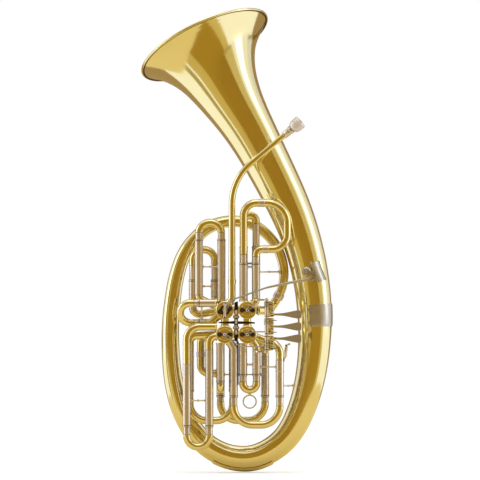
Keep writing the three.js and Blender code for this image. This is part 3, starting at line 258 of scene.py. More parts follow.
# The drawing of the whole oval stands here, since its later lengths carry on from this one. A
# row is a place across, a height and a width, each a share of the horn's height.
oval_drawing = [
    (-0.0844, 0.9185, 0.2927), (-0.0792, 0.9075, 0.2610), (-0.0718, 0.8915, 0.2240),
    (-0.0635, 0.8740, 0.1950), (-0.0520, 0.8505, 0.1660), (-0.0365, 0.8195, 0.1440),
    (-0.0140, 0.7800, 0.1230), (0.0075, 0.7440, 0.1120), (0.0300, 0.7040, 0.1040),
    (0.0550, 0.6560, 0.0985), (0.0790, 0.6090, 0.0950), (0.1000, 0.5640, 0.0910),
    (0.1180, 0.5190, 0.0855), (0.1325, 0.4720, 0.0815), (0.1435, 0.4240, 0.0785),
    (0.1500, 0.3760, 0.0762), (0.1530, 0.3280, 0.0735), (0.1525, 0.2800, 0.0700),
    (0.1485, 0.2340, 0.0670), (0.1405, 0.1880, 0.0640), (0.1270, 0.1400, 0.0605),
    (0.1075, 0.0960, 0.0580), (0.0860, 0.0665, 0.0562), (0.0590, 0.0450, 0.0553),
    (0.0290, 0.0310, 0.0545), (0.0, 0.0268, 0.0536), (-0.0380, 0.0330, 0.0520),
    (-0.0770, 0.0535, 0.0500), (-0.1110, 0.0900, 0.0470), (-0.1340, 0.1330, 0.0440),
    (-0.1490, 0.1840, 0.0410), (-0.1560, 0.2380, 0.0390), (-0.1575, 0.3120, 0.0370),
    (-0.1530, 0.3670, 0.0352), (-0.1440, 0.4200, 0.0330), (-0.1290, 0.4640, 0.0310),
    (-0.1080, 0.4960, 0.0290), (-0.0800, 0.5210, 0.0270), (-0.0480, 0.5340, 0.0257),
    (-0.0155, 0.5368, 0.0246), (0.0190, 0.5300, 0.0235), (0.0450, 0.5130, 0.0226),
    (0.0660, 0.4900, 0.0217), (0.0800, 0.4620, 0.0210), (0.0865, 0.4300, 0.0203),
    (0.0840, 0.4000, 0.0196), (0.0750, 0.3760, 0.0190), (0.0615, 0.3545, 0.0184),
]
oval_stops = []
for across, rise, wide in oval_drawing:
    climb = max(0.0, (rise - lean_start) / (oval_drawing[0][1] - lean_start))
    lean = body_plane + bell_lean * climb**3
    oval_stops.append((across * horn_height, lean, rise * horn_height, wide * horn_height / 2))


def mirror(point, centre):
    """A point on the other side of a centre."""
    return [2 * c - p for p, c in zip(point, centre)]


def oval_place(row):
    """Across, back, up and radius of the oval's tube at a row of the drawing or between two."""
    low = max(0, min(int(row), len(oval_stops) - 2))
    near, far = oval_stops[low], oval_stops[low + 1]
    before = oval_stops[low - 1] if low else mirror(far, near)
    after = oval_stops[low + 2] if low + 2 < len(oval_stops) else mirror(near, far)
    gaps = []
    for a, b in ((before, near), (near, far), (far, after)):
        gaps.append(sqrt(sqrt(sum((p - q) ** 2 for p, q in zip(a[:3], b[:3])))))
    share = row - low
    place = []
    for a, b, c, d in zip(before, near, far, after):
        start = ((b - a) / gaps[0] - (c - a) / (gaps[0] + gaps[1]) + (c - b) / gaps[1]) * gaps[1]
        end = ((c - b) / gaps[1] - (d - b) / (gaps[1] + gaps[2]) + (d - c) / gaps[2]) * gaps[1]
        bend = -3 * b + 3 * c - 2 * start - end
        ease = 2 * b - 2 * c + start + end
        place.append(b + share * (start + share * (bend + share * ease)))
    return place


def fair_place(row):
    """A place of the oval. The mandrel evens the bell's curve out, so there it is an average over
    the rows close by, and past the rim the curve is taken to go on as its own mirror image."""
    reach = fair_reach * min(1.0, max(0.0, (bell_last_row - row) / fair_fade))
    if not reach:
        return oval_place(row)
    places = []
    for share in range(-fair_steps, fair_steps + 1):
        near = row + reach * share / fair_steps
        places.append(mirror(oval_place(-near), oval_place(0)) if near < 0 else oval_place(near))
    return [sum(values) / len(places) for values in zip(*places)]


def oval_ring(row, grow=0.0, wall=big_wall):
    """A ring of the oval's tube: centre, direction, outer radius and inner radius."""
    here = fair_place(row)
    ahead, behind = fair_place(row + 1e-3), fair_place(row - 1e-3)
    along = (Vector(ahead[:3]) - Vector(behind[:3])).normalized()
    return [Vector(here[:3]), along, here[3] + grow, here[3] + grow - wall]


def rows_between(first, last, per_row=6):
    """Row numbers from one to another, several for each row of the drawing."""
    count = max(1, round((last - first) * per_row))
    return [first + (last - first) * k / count for k in range(count + 1)]


class Metalwork:
    """One piece of the horn as it is built up, in millimetres, with a finish for each face."""

    def __init__(self):
        self.points = []
        self.faces = []
        self.face_finish = []

    def add_face(self, corners, finish):
        self.faces.append(corners)
        self.face_finish.append(finish)

    def add_loop(self, centre, spokes, radius):
        """Points on spokes round a centre. It gives their numbers."""
        first = len(self.points)
        self.points.extend(centre + spoke * radius for spoke in spokes)
        return range(first, len(self.points))

    def join_loops(self, here, there, finish, flip=False, steps=None):
        """A band of faces between two loops, closed round unless it is told its steps."""
        for k in range(steps or len(here)):
            n = (k + 1) % len(here)
            face = (here[k], here[n], there[n], there[k])
            self.add_face(face[::-1] if flip else face, finish)

    def sweep(self, rings, sides=28, finish=0, turn=None):
        """A tube through rings, or a curved plate where turn gives two angles round the route."""
        start, stop = turn or (0.0, 2 * pi)
        angles = [start + (stop - start) * k / sides for k in range(sides + 1 if turn else sides)]
        first = rings[0][1]
        side = Vector((0, 1, 0)) if abs(first.y) < 0.7 else Vector((1, 0, 0))
        tones = finish if isinstance(finish, list) else [finish] * len(rings)
        outer_loops, inner_loops, inner_tones = [], [], []
        for tone, (centre, along, outer, inner) in zip(tones, rings):
            side = (side - along * side.dot(along)).normalized()
            rise = along.cross(side)
            spokes = [side * cos(a) + rise * sin(a) for a in angles]
            outer_loops.append(self.add_loop(centre, spokes, outer))
            if inner > 0:
                inner_loops.append(self.add_loop(centre, spokes, inner))
                inner_tones.append(tone)
        for loops, loop_tones, flip in ((outer_loops, tones, False), (inner_loops, inner_tones, True)):
            for here, there, tone in zip(loops, loops[1:], loop_tones):
                self.join_loops(here, there, tone, flip, sides)
        for end, flip in ((0, True), (-1, False)):
            outer = outer_loops[end]
            if rings[end][3] > 0:
                self.join_loops(outer, inner_loops[end], tones[end], not flip, sides)
            else:
                self.add_face(tuple(outer)[::-1] if flip else tuple(outer), tones[end])
        if turn:
            for a, b, c, d, tone in zip(outer_loops, outer_loops[1:], inner_loops, inner_loops[1:], tones):
                self.add_face((a[0], b[0], d[0], c[0]), tone)
                self.add_face((a[-1], c[-1], d[-1], b[-1]), tone)

    def hand_over(self, name, node, body, slot, finishes, edge=0.0):
        """Turns the work into a finished piece that rides on its body and stands for its node."""
        mesh = bpy.data.meshes.new(name)
        drawn = [(p.x / 1000, (p.y - body_plane) / 1000, (p.z + stand_lift) / 1000) for p in self.points]
        mesh.from_pydata(drawn, [], self.faces)
        for finish in finishes:
            mesh.materials.append(finish)
        mesh.polygons.foreach_set("material_index", self.face_finish)
        mesh.polygons.foreach_set("use_smooth", [True] * len(self.faces))
        mesh.set_sharp_from_angle(angle=sharp_edge)
        mesh.validate()
        piece = add_object(name, mesh)
        if edge:
            rounding = piece.modifiers.new("worn_edges", "BEVEL")
            rounding.width = edge / 1000
            rounding.segments = 2
            rounding.limit_method = "ANGLE"
            rounding.angle_limit = radians(50)
            rounding.harden_normals = True
        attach(piece, body)
        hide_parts(node)
        return piece


def noise(tree, place, scale, detail):
    """Uneven cloudy spots, finer with a larger scale."""
    spots = add_node(tree, "ShaderNodeTexNoise", {"Vector": place, "Scale": scale, "Detail": detail})
    return spots.outputs["Fac"]


def relief(tree, height, strength, depth):
    bump = add_node(tree, "ShaderNodeBump", {"Height": height, "Strength": strength, "Distance": depth})
    return bump.outputs["Normal"]


def polished_metal(name, low, high, gloss, bands, coat, bare=1.0):
    """A polished metal whose colour drifts a little, with a faint hand-buffed unevenness. Where
    it is not wholly bare, a thin grey bloom on it shows its own colour."""
    metal = bpy.data.materials.new(name)
    metal.use_nodes = True
    tree = metal.node_tree
    place = add_node(tree, "ShaderNodeTexCoord", {}).outputs["Object"]
    spread = add_node(tree, "ShaderNodeMapRange", {
        "Value": noise(tree, place, 38.0, 6.0), "To Min": gloss[0], "To Max": gloss[1],
    })
    fill_sockets(tree, tree.nodes["Principled BSDF"], {
        "Base Color": colour_between(tree, noise(tree, place, 9.0, 5.0), low, high, 0.3, 0.7),
        "Metallic": bare,
        "Roughness": spread.outputs["Result"],
        "Coat Weight": coat,
        "Coat Roughness": 0.06,
        "Normal": relief(tree, noise(tree, place, 420.0, 3.0), bands, 0.0003),
    })
    return metal


lacquered_brass = polished_metal(
    "lacquered_brass", (0.81, 0.71, 0.36), (0.86, 0.77, 0.43), (0.09, 0.15), 0.02, 1.0,
)
# Painted shade: a dull dark brown brass laid where shade falls, in the grooves of the rings,
# under the rim wire, at the receiver's mouth, in gaps between parts and behind the valves.
painted_shade = polished_metal("brass_painted_shade", (0.05, 0.028, 0.012), (0.10, 0.06, 0.025), (0.4, 0.6), 0.1, 0.0)

bell = Metalwork()
rim, rim_along, rim_radius, _ = oval_ring(0)
bead = []
for k in range(bead_steps + 1):
    angle = pi * (k / bead_steps - 0.5)
    place = rim + rim_along * (sin(angle) * rim_wire / 2)
    outer = rim_radius + 0.3 + cos(angle) * rim_wire / 2
    bead.append([place, rim_along, outer, rim_radius - 0.6 if k == 0 else 0.0])
throat = [oval_ring(row) for row in rows_between(0.2, bell_last_row, 8)]
# The band under the rim wire is painted shade, in the dark shade brass.
shade_under_rim = [0] * bead_steps + [1] + [0] * len(throat)
bell.sweep(bead + throat, bell_sides, shade_under_rim)
bell.hand_over("bell_and_throat", "bell", "horn", "lacquered_brass", [lacquered_brass, painted_shade])

# The bottom bow, the left branch and the bow that comes back to the valves are three lengths of
# drawn cone, each pushed into the next and soldered, and filed flush there.
bow_last_row = 31
branch_last_row = 35
inner_bow_last_row = 45
for name, node, first, last, sides in (
    ("bottom_bow_tube", "bottom_bow", bell_last_row, bow_last_row, 72),
    ("left_branch_tube", "left_branch", bow_last_row, branch_last_row, 56),
    ("inner_bow_tube", "inner_bow", branch_last_row, inner_bow_last_row, 48),
):
    tube = Metalwork()
    tube.sweep([oval_ring(row) for row in rows_between(first, last)], sides)
    tube.hand_over(name, node, "horn", "lacquered_brass", [lacquered_brass])

# Four rotary valves in a block, each a turned brass casing. The tubes between them are short
# brass stubs. Their centres and the three planes in which the small tubes lie come first.
pitch_across = 39.4
pitch_up = 42.8
valve_left = -33.0
valve_low = 241.0
front_plane = -31.0
middle_plane = -15.5
rear_plane = 0.0
casing_radius = 15.0
solder_gap = 0.2
casing_front = -39.0
casing_back = 12.0
back_cap_wide = 32
top_left = Vector((valve_left, 0, valve_low + pitch_up))
top_right = Vector((valve_left + pitch_across, 0, valve_low + pitch_up))
low_left = Vector((valve_left, 0, valve_low))
low_right = Vector((valve_left + pitch_across, 0, valve_low))
ahead = Vector((0, -1, 0))
behind = Vector((0, 1, 0))
up = Vector((0, 0, 1))
down = Vector((0, 0, -1))
to_left = Vector((-1, 0, 0))
to_right = Vector((1, 0, 0))


def lathe(work, start, towards, stops, bore=0.0, sides=40, finish=0):
    """Adds a turned piece: each stop is a distance along it and a diameter there."""
    along = towards.normalized()
    rings = []
    for k, (distance, wide) in enumerate(stops):
        inner = bore / 2 if k in (0, len(stops) - 1) else 0.0
        rings.append([start + along * distance, along, wide / 2, inner])
    work.sweep(rings, sides, finish)


def both_ends(stops, length):
    """Stops from one end on, and the same ones again from the other end."""
    return stops + [(length - distance, wide) for distance, wide in reversed(stops)]


def knurled_ring(work, start, towards, length, wide, depth, teeth):
    """Adds a gripping ring with fine straight teeth, as on a valve's back cap."""
    rise = towards.cross(to_right)
    spokes = []
    for k in range(teeth * 2):
        angle = pi * k / teeth
        spokes.append((to_right * cos(angle) + rise * sin(angle)) * (wide / 2 - (depth if k % 2 else 0.0)))
    near, far = work.add_loop(start, spokes, 1), work.add_loop(start + towards * length, spokes, 1)
    work.join_loops(near, far, 0)
    work.add_face(tuple(near)[::-1], 0)
    work.add_face(tuple(far), 0)


def flat_plate(work, outline, thickness, shift, finish=0):
    """Adds a flat plate: its outline is given across and up, its thickness runs to the back.
    Shift puts each point in its place on the horn."""
    start = len(work.points)
    count = len(outline)
    for depth in (0.0, thickness):
        work.points.extend(shift(Vector((across, depth, rise))) for across, rise in outline)
    work.add_face(tuple(range(start, start + count)), finish)
    work.add_face(tuple(range(start + count, start + 2 * count))[::-1], finish)
    for k in range(count):
        n = (k + 1) % count
        work.add_face((start + k, start + count + k, start + count + n, start + n), finish)


def set_upright(centre, plane, angle=0.0):
    """A place in a plane that faces the player, turned clockwise about its centre."""
    def shift(point):
        across = point.x * cos(angle) + point.z * sin(angle)
        rise = point.z * cos(angle) - point.x * sin(angle)
        return Vector((centre.x + across, plane + point.y, centre.z + rise))
    return shift


for name, centre, stub_left, stub_up in (
    ("top_left", top_left, False, False),
    ("top_right", top_right, True, False),
    ("low_left", low_left, False, True),
    ("low_right", low_right, True, True),
):
    casing = Metalwork()
    front = centre + behind * casing_front
    length = casing_back - casing_front
    lathe(casing, front, behind, [
        (0, 29.2), (0.4, 30), (2.2, 30), (2.5, 29.3), (3.1, 29.3), (3.4, 30), (length - 6.2, 30),
        (length - 5.9, 29.3), (length - 5.3, 29.3), (length - 5.0, 30), (length - 4.2, 30),
    ], 0, 56)
    knurled_ring(casing, front + behind * (length - 4.2), behind, 3.4, back_cap_wide, 0.5, 60)
    lathe(casing, front + behind * (length - 0.9), behind, [(0, 29.6), (0.5, 28.6), (0.9, 27)], 0, 56)
    lathe(casing, front + behind * (length - 0.2), behind, [(0, 7), (0.2, 6.6)], 0, 24)
    for wanted, along, pitch in ((stub_left, to_left, pitch_across), (stub_up, up, pitch_up)):
        if wanted:
            start = centre + behind * middle_plane + along * (casing_radius - 1)
            reach = pitch - 2 * casing_radius + 0.7
            lathe(casing, start, along, [(0, 16), (2.2, 15.2), (2.8, 13.5), (reach, 13.5)], 0, 36)
    casing.hand_over(
        name + "_casing", name + "_valve_casing", "horn", "lacquered_brass", [lacquered_brass], 0.15,
    )

# The tube from the inner bow on to the upper right valve is brass. A plain nickel silver ring
# is soldered over the joint, and a brass collar sits where it meets the valve.
nickel_silver = polished_metal(
    "nickel_silver", (0.69, 0.62, 0.54), (0.77, 0.70, 0.62), (0.17, 0.27), 0.04, 0.2, 0.88,
)
tube_metals = [lacquered_brass, nickel_silver, painted_shade]
crook_wide = 13.5
entry_last_row = 47
joint_ring_wall = 1.5
joint_ring_sunk = 0.9


def bent_route(corners, bends, step=radians(5)):
    """Places with a direction along straight runs whose corners are rounded."""
    corners = [Vector(corner) for corner in corners]
    places = [(corners[0], (corners[1] - corners[0]).normalized())]
    for i, corner in enumerate(corners[1:-1]):
        before = (corner - corners[i]).normalized()
        after = (corners[i + 2] - corner).normalized()
        turn = before.angle(after)
        bend = bends[i] if isinstance(bends, list) else bends
        inward = (after - before * after.dot(before)).normalized()
        centre = corner - before * (bend * tan(turn / 2)) + inward * bend
        steps = max(2, round(turn / step))
        for k in range(steps + 1):
            angle = turn * k / steps
            place = centre - inward * (bend * cos(angle)) + before * (bend * sin(angle))
            places.append((place, before * cos(angle) + inward * sin(angle)))
    return places + [(corners[-1], (corners[-1] - corners[-2]).normalized())]


def casing_seat(valve, corner, slack=0.0):
    """Where a tube from a corner, headed for a valve's axis, meets its casing."""
    away = Vector((corner[0] - valve.x, 0, corner[2] - valve.z)).normalized()
    place = valve + away * (casing_radius + solder_gap + slack)
    return Vector((place.x, corner[1], place.z))


entry = Metalwork()
end, along, outer, inner = oval_ring(entry_last_row)
knee = end + along * (pitch_across / 4)
seat = casing_seat(top_right, knee, 3.0)
seat.y = rear_plane
rings = [oval_ring(row) for row in rows_between(inner_bow_last_row, entry_last_row - 0.1)]
rings += [[place, along, outer, inner] for place, along in bent_route([end, knee, seat], crook_wide / 2)]
entry.sweep(rings, 40)
joint = [oval_ring(row, joint_ring_wall, joint_ring_wall) for row in rows_between(45.74, 46.28, 12)]
for ring in (joint[0], joint[-1]):
    ring[2] -= joint_ring_sunk
    ring[3] -= joint_ring_sunk
entry.sweep(joint, 40, 1)
inward = top_right + behind * seat.y - seat
lathe(entry, seat, inward, [(-3.2, 17.4), (-2.6, 18), (-0.4, 18), (0.2, 17.2)], 0, 40)
entry.hand_over("valve_entry", "valve_entry_tube", "horn", "lacquered_brass", tube_metals)

# A tuning slide has two fixed outer sleeves of nickel silver, whose elbows towards the valves
# are brass, and a brass bow on two nickel silver legs that run in them. A ring is turned on
# each sleeve's mouth, and a thin turned stay with flared feet ties the pair.
sleeve_wide = 14.4
sleeve_bore = 12.9
lip_wide = 15.7
leg_wide = 12.6
leg_bore = 10.8
elbow_bend = 12
stay_foot = sleeve_wide / 2 - 0.7


def at_height(place, height):
    """The place straight above or below another one."""
    return Vector((place.x, place.y, height))


def casing_reach(offset):
    """How far from a valve's axis a straight sleeve ends that runs past it by an offset."""
    nearest = max(0.0, abs(offset) - sleeve_wide / 2)
    return sqrt((casing_radius + solder_gap) ** 2 - nearest**2)


def sleeve(work, corners, bend=elbow_bend, brass_from=None):
    """Adds a fixed sleeve from its mouth back to a valve. Past a length it can turn to brass."""
    places = bent_route(corners, bend)
    mouth, along = places[0]
    wide = sleeve_wide
    stops = [
        (0, wide - 0.5), (0.3, wide), (0.9, wide), (1.2, lip_wide), (2.6, lip_wide),
        (2.8, wide), (3.6, wide),
    ]
    rings = [[mouth + along * distance, along, width / 2, 0.0] for distance, width in stops]
    rings[0][3] = sleeve_bore / 2
    # The edges of the lip and of the step behind it are painted shade, and so is a thin line where the
    # sleeve turns to brass.
    finish = [2, 1, 2, 1, 2, 2, 1]
    run = 0.0
    for (before, _), (here, direction) in zip(places, places[1:]):
        reach = (here - before).length
        if brass_from is not None and run < brass_from < run + reach:
            change = before.lerp(here, (brass_from - run) / reach)
            rings.append([change, direction, wide / 2, 0.0])
            rings.append([change + direction * 0.5, direction, wide / 2 - 0.25, 0.0])
            finish += [2, 0]
        run += reach
        rings.append([here, direction, wide / 2 - (0.25 if finish[-1] == 0 else 0.0), sleeve_bore / 2])
        finish.append(finish[-1])
    work.sweep(rings, 36, finish)
    here, direction = places[-1]
    lathe(work, here - direction * 2.6, direction, [(0, 15.2), (0.5, 16.2), (2.2, 16.6), (2.6, 16.2)], 0, 36)


def stay(work, first, second, second_inset=0.0):
    """Adds a turned stay with a flared foot at each end and a bead in its middle."""
    along = (second - first).normalized()
    length = (second - first).length - stay_foot * 2 - second_inset
    thick = 2.6
    if length < 8:
        stops = both_ends([(0, 6), (length * 0.3, thick)], length)
        stops.insert(2, (length * 0.5, thick + 0.8))
    else:
        stops = both_ends([
            (0, 7.2), (1.0, 7.0), (1.6, 4.6), (2.6, thick + 0.2), (length * 0.3, thick),
            (length / 2 - 1.8, thick), (length / 2 - 1.2, thick + 1.2),
        ], length)
        stops.insert(7, (length / 2, thick + 1.8))
    lathe(work, first + along * stay_foot, along, stops, 0, 20, 1)


def slide_leg(end, change, out):
    """The rings of a nickel silver leg from its open end to where the brass begins."""
    return [
        [end, out, leg_wide / 2 - 0.3, leg_bore / 2],
        [end + out * 0.4, out, leg_wide / 2, 0.0],
        [change - out * 0.5, out, leg_wide / 2, 0.0],
        [change, out, leg_wide / 2, 0.0],
        [change + out * 0.05, out, crook_wide / 2 - 0.3, 0.0],
        [change + out * 0.4, out, crook_wide / 2, 0.0],
    ]


def slide_bow(mouths, out, inserted, nickel, corners, bend, bands=()):
    """The bow of a slide: a nickel silver leg, brass round the corners, and the other leg."""
    ends = [mouth - out * inserted for mouth in mouths]
    changes = [mouth + out * length for mouth, length in zip(mouths, nickel)]
    rings = slide_leg(ends[0], changes[0], out)
    for place, along in bent_route([ends[0], *corners, ends[1]], bend)[1:-1]:
        if not any(
            (place - change).dot(out) < 0.6 and (place - end).length < (change - end).length + 1
            for end, change in zip(ends, changes)
        ):
            rings.append([place, along, crook_wide / 2, leg_bore / 2])
    # A thin band of painted shade marks each leg's change from nickel silver to brass.
    finish = [1, 1, 2] + [0] * (len(rings) - 1) + [2, 1, 1, 1]
    for place, _, outer, inner in reversed(slide_leg(ends[1], changes[1], out)):
        rings.append([place, -out, outer, inner])
    work = Metalwork()
    work.sweep(rings, 36, finish)
    for place, along, length in bands:
        stops = both_ends([(0, crook_wide + 0.4), (0.3, crook_wide + 1.0)], length)
        lathe(work, place - along * (length / 2), along, stops, 0, 36, 1)
    return work


def upright_sleeves(legs, out, mouth, stay_back):
    """Both sleeves of an upright slide and their stay. A leg is its place across, its plane, its
    valve, the height at which it turns to the valve, and where it turns to brass. One that runs
    level into its valve has its bend as well."""
    work = Metalwork()
    mouths = []
    for across, plane, valve, turn_at, brass_from, *level_bend in legs:
        start = Vector((across, plane, mouth))
        mouths.append(start)
        if turn_at is None:
            sleeve(work, [start, at_height(start, valve.z + out.z * casing_reach(across - valve.x))])
            continue
        corner = at_height(start, turn_at)
        end = casing_seat(valve, corner)
        if level_bend:
            side = (1 if across > valve.x else -1) * casing_reach(turn_at - valve.z)
            end = Vector((valve.x + side, plane, turn_at))
        sleeve(work, [start, corner, end], level_bend or elbow_bend, brass_from)
    stay(work, mouths[0] - out * stay_back, mouths[1] - out * stay_back)
    return work, mouths


# The main tuning slide. Its bow rises beside the leadpipe, makes a wide loop to the right in
# front of the inner bow, and comes back to the second sleeve. Two nickel rings mark the joints.
main_left = -0.2
main_right = 21.7
main_mouth = 367.0
main_top = 472.5
main_return = 391
main_reach = 76.4
main_tie = main_mouth - 16
top_turn = 299.0
sleeves, mouths = upright_sleeves(
    [(main_left, front_plane, top_right, None, None), (main_right, front_plane, top_right, top_turn, 62)],
    up, main_mouth, 7,
)
tie_back = oval_ring(43.6)
tie_inset = tie_back[2] - stay_foot
stay(sleeves, Vector((main_right, front_plane, main_tie)), at_height(tie_back[0], main_tie), tie_inset)
sleeves.hand_over("main_slide_sleeves", "main_tuning_slide_sleeves", "horn", "nickel", tube_metals)
corners = [
    Vector((main_left, front_plane, main_top)), Vector((main_reach, front_plane, main_top)),
    Vector((main_reach, front_plane, main_return)), Vector((main_right, front_plane, main_return)),
]
bow = slide_bow(mouths, up, 60, (15, 11), corners, [23, 36, 26, 10.5], [
    (Vector((31.5, front_plane, main_top)), to_right, 10),
    (Vector((38.5, front_plane, main_return)), to_left, 10),
])
bow.hand_over("main_slide_bow", "main_tuning_slide_bow", "main_tuning_slide", "lacquered_brass", tube_metals)

# Seven more upright slides hang from the valve block in three planes, four of them with long
# legs and one with a pull ring on a lug under its bow.
lower_left_leg = -100.1
rear_low_leg = -40.8
ring_right = 22.4
pull_ring_radius = 11.3
pull_ring_wire = 1.35
pull_ring_drop = 14.2
for name, out, mouth, legs, reach, bend, inserted, nickel, stay_back in (
    ("rear_tuning", up, 396.0,
     [(main_left, middle_plane, top_right, None, None), (main_right, middle_plane, top_right, top_turn, 92)],
     54.5, None, 55, 40, 30),
    ("upper_left", up, 408.9,
     [(-78.9, middle_plane, top_left, 304.0, 98), (-39.2, middle_plane, top_left, None, None)],
     29, None, 70, 12, 48.8),
    ("rear_left", up, 337.6,
     [(-89.5, rear_plane, top_left, 274.0, 56), (-50.7, rear_plane, top_left, 302.0, 30)],
     52.3, None, 26, 25, 12),
    ("lower_left", down, 77.7,
     [(lower_left_leg, front_plane, low_left, 254.7, 111, 23), (-60.5, front_plane, low_left, 236.0, 136)],
     34.5, None, 70, 13, 47),
    ("rear_low", down, 130.0,
     [(rear_low_leg, rear_plane, low_left, None, None), (37.6, rear_plane, low_right, 214.0, 72)],
     40.85, 30, 45, 8, 40),
    ("ring", down, 168.0,
     [(-1.2, front_plane, low_right, None, None), (ring_right, front_plane, low_right, 219.0, 46)],
     24.65, None, 30, 10, 20),
    ("short", down, 156.0,
     [(-40.9, front_plane, low_left, None, None), (-40.9, middle_plane, low_left, None, None)],
     12, None, 40, 2, 20),
):
    slide = name + "_slide"
    sleeves, mouths = upright_sleeves(legs, out, mouth, stay_back)
    sleeves.hand_over(slide + "_tubes", slide + "_sleeves", "horn", "nickel", tube_metals)
    corners = [m + out * reach for m in mouths]
    round_bend = bend or ((mouths[0] - mouths[1]).length - 0.8) / 2
    bow = slide_bow(mouths, out, inserted, (nickel, nickel), corners, round_bend)
    if name == "ring":
        top = (corners[0] + corners[1]) / 2 + down * (crook_wide / 2 - 0.4)
        lathe(bow, top, down, [(0, 5.4), (0.8, 4.2), (2.4, 3.2), (3.6, 3.4)], 0, 20, 1)
        loop = []
        for k in range(65):
            angle = 2 * pi * k / 64
            place = top + down * pull_ring_drop + Vector((sin(angle), 0, cos(angle))) * pull_ring_radius
            loop.append([place, Vector((cos(angle), 0, -sin(angle))), pull_ring_wire, 0.0])
        bow.sweep(loop, 14, 1)
    bow.hand_over(slide + "_loop", slide + "_bow", slide, "lacquered_brass", tube_metals)

# Two wide slides at the bottom hang one behind the other. Their sleeves are soldered to their
# neighbours: the rear left one is tied to the slide in front of it, and two in the middle make a
# pair with a strip of painted shade between them, a dark plate where shadow falls in the gap.
tie_height = 170
rear_left_mouth = Vector((-94.8, middle_plane, 140))
rear_right_mouth = Vector((-19, middle_plane, 140))
front_left_mouth = Vector((-17.5, front_plane, 130))
front_right_mouth = Vector((63.5, front_plane, 130))
sleeves = Metalwork()
corner = at_height(rear_left_mouth, 238)
sleeve(sleeves, [rear_left_mouth, corner, casing_seat(low_left, corner)], elbow_bend, 84)
stay(sleeves, at_height(rear_left_mouth, tie_height), Vector((lower_left_leg, front_plane, tie_height)))
sleeves.hand_over("rear_wide_left_tube", "rear_wide_slide_left_sleeve", "horn", "nickel", tube_metals)

sleeves = Metalwork()
for mouth, height in ((rear_right_mouth, 219), (front_left_mouth, 216)):
    corner = at_height(mouth, height)
    sleeve(sleeves, [mouth, corner, casing_seat(low_left, corner)])
stay(sleeves, at_height(rear_right_mouth, tie_height), at_height(front_left_mouth, tie_height))
# The strip is painted shade: a dark plate in the gap between the pair, where shadow falls.
shade_strip = [(-12.6, 152), (-8.8, 152), (-8.8, 229), (-12.6, 229)]
flat_plate(sleeves, shade_strip, 2.0, set_upright(Vector(), front_plane + 8), 2)
sleeves.hand_over("middle_pair_tubes", "middle_sleeve_pair", "horn", "nickel", tube_metals)

# The right sleeve carries a stay to the bell's tube, one to its neighbour and the hook for the
# little finger, a rod that is forged thicker in the middle, with painted shade on its middle and tip.
bell_stay = 150.6
short_stay = 183.9
hook_height = 196
hook_tip = 1.6
sleeves = Metalwork()
corner = at_height(front_right_mouth, 222)
pass_corner = Vector((38, middle_plane, 230.5))
sleeve(sleeves, [front_right_mouth, corner, pass_corner, casing_seat(low_right, pass_corner)], [22, 12], 66)
tube = oval_ring(19.9)
bell_side = at_height(tube[0], bell_stay)
stay(sleeves, at_height(front_right_mouth, bell_stay), bell_side, tube[2] - stay_foot + 0.2)
stay(sleeves, at_height(front_right_mouth, short_stay), Vector((ring_right, front_plane, short_stay)))
lathe(sleeves, at_height(front_right_mouth, 177.2), down, both_ends([(0, 15.4), (0.5, 16.0)], 2.1), 0, 36, 1)
foot = at_height(front_right_mouth, hook_height) + to_right * (sleeve_wide / 2 - 0.6)
hook_drawing = ((0, 0), (3.8, 6.6), (3.9, 14.0), (5.6, 26.6), (9.8, 28.0))
corners = [foot + Vector((across, 0, rise)) for across, rise in hook_drawing]
hook = bent_route(corners, [4, 8, 3], radians(8))
rings = []
tones = []
# The hook's middle and its rounded tip are painted shade.
for k, (place, along) in enumerate(hook):
    share = k / (len(hook) - 1)
    rings.append([place, along, hook_tip + 1.2 * sin(pi * share) ** 2, 0.0])
    tones.append(2 if 0.45 < share < 0.65 or share > 0.95 else 1)
tip, along = hook[-1]
for k in range(1, 7):
    angle = pi / 2 * k / 6
    rings.append([tip + along * (1.8 * sin(angle)), along, hook_tip * cos(angle) + 0.1, 0.0])
    tones.append(2)
sleeves.sweep(rings, 20, tones)
lathe(sleeves, foot, to_right, [(0, 9), (0.8, 8.6), (1.6, 5.2), (2.4, 3.8)], 0, 20, 1)
sleeves.hand_over("lower_wide_right_tube", "lower_wide_slide_right_sleeve", "horn", "nickel", tube_metals)

for name, mouths, drop, inserted, nickel, bend in (
    ("rear_wide", [rear_left_mouth, rear_right_mouth], 50.85, 50, 12, 30),
    ("lower_wide", [front_left_mouth, front_right_mouth], 48.1, 70, 14.7, 33),
):
    corners = [mouth + down * drop for mouth in mouths]
    bow = slide_bow(mouths, down, inserted, (nickel, nickel), corners, bend)
    bow.hand_over(name + "_loop", name + "_slide_bow", name + "_slide", "lacquered_brass", tube_metals)

# The short slide that points to the left has its upper leg in front and its lower leg behind.
side_mouth = -80.8
side_upper = 296.3
side_lower = 261.4
side_tie = -74
mouths = [Vector((side_mouth, front_plane, side_upper)), Vector((side_mouth, middle_plane, side_lower))]
sleeves = Metalwork()
upper_end = Vector((valve_left - casing_reach(side_upper - top_left.z), front_plane, side_upper))
sleeve(sleeves, [mouths[0], upper_end])
lower_corner = Vector((-58, middle_plane, side_lower))
sleeve(sleeves, [mouths[1], lower_corner, casing_seat(top_left, lower_corner)], 10, 14)
stay(sleeves, Vector((side_tie, front_plane, side_upper)), Vector((side_tie, middle_plane, side_lower)))
sleeves.hand_over("side_slide_tubes", "side_slide_sleeves", "horn", "nickel", tube_metals)
corners = [mouth + to_left * 30.8 for mouth in mouths]
bow = slide_bow(mouths, to_left, 17, (7, 7), corners, (mouths[0] - mouths[1]).length / 2 - 0.8)
bow.hand_over("side_slide_loop", "side_slide_bow", "side_slide", "lacquered_brass", tube_metals)

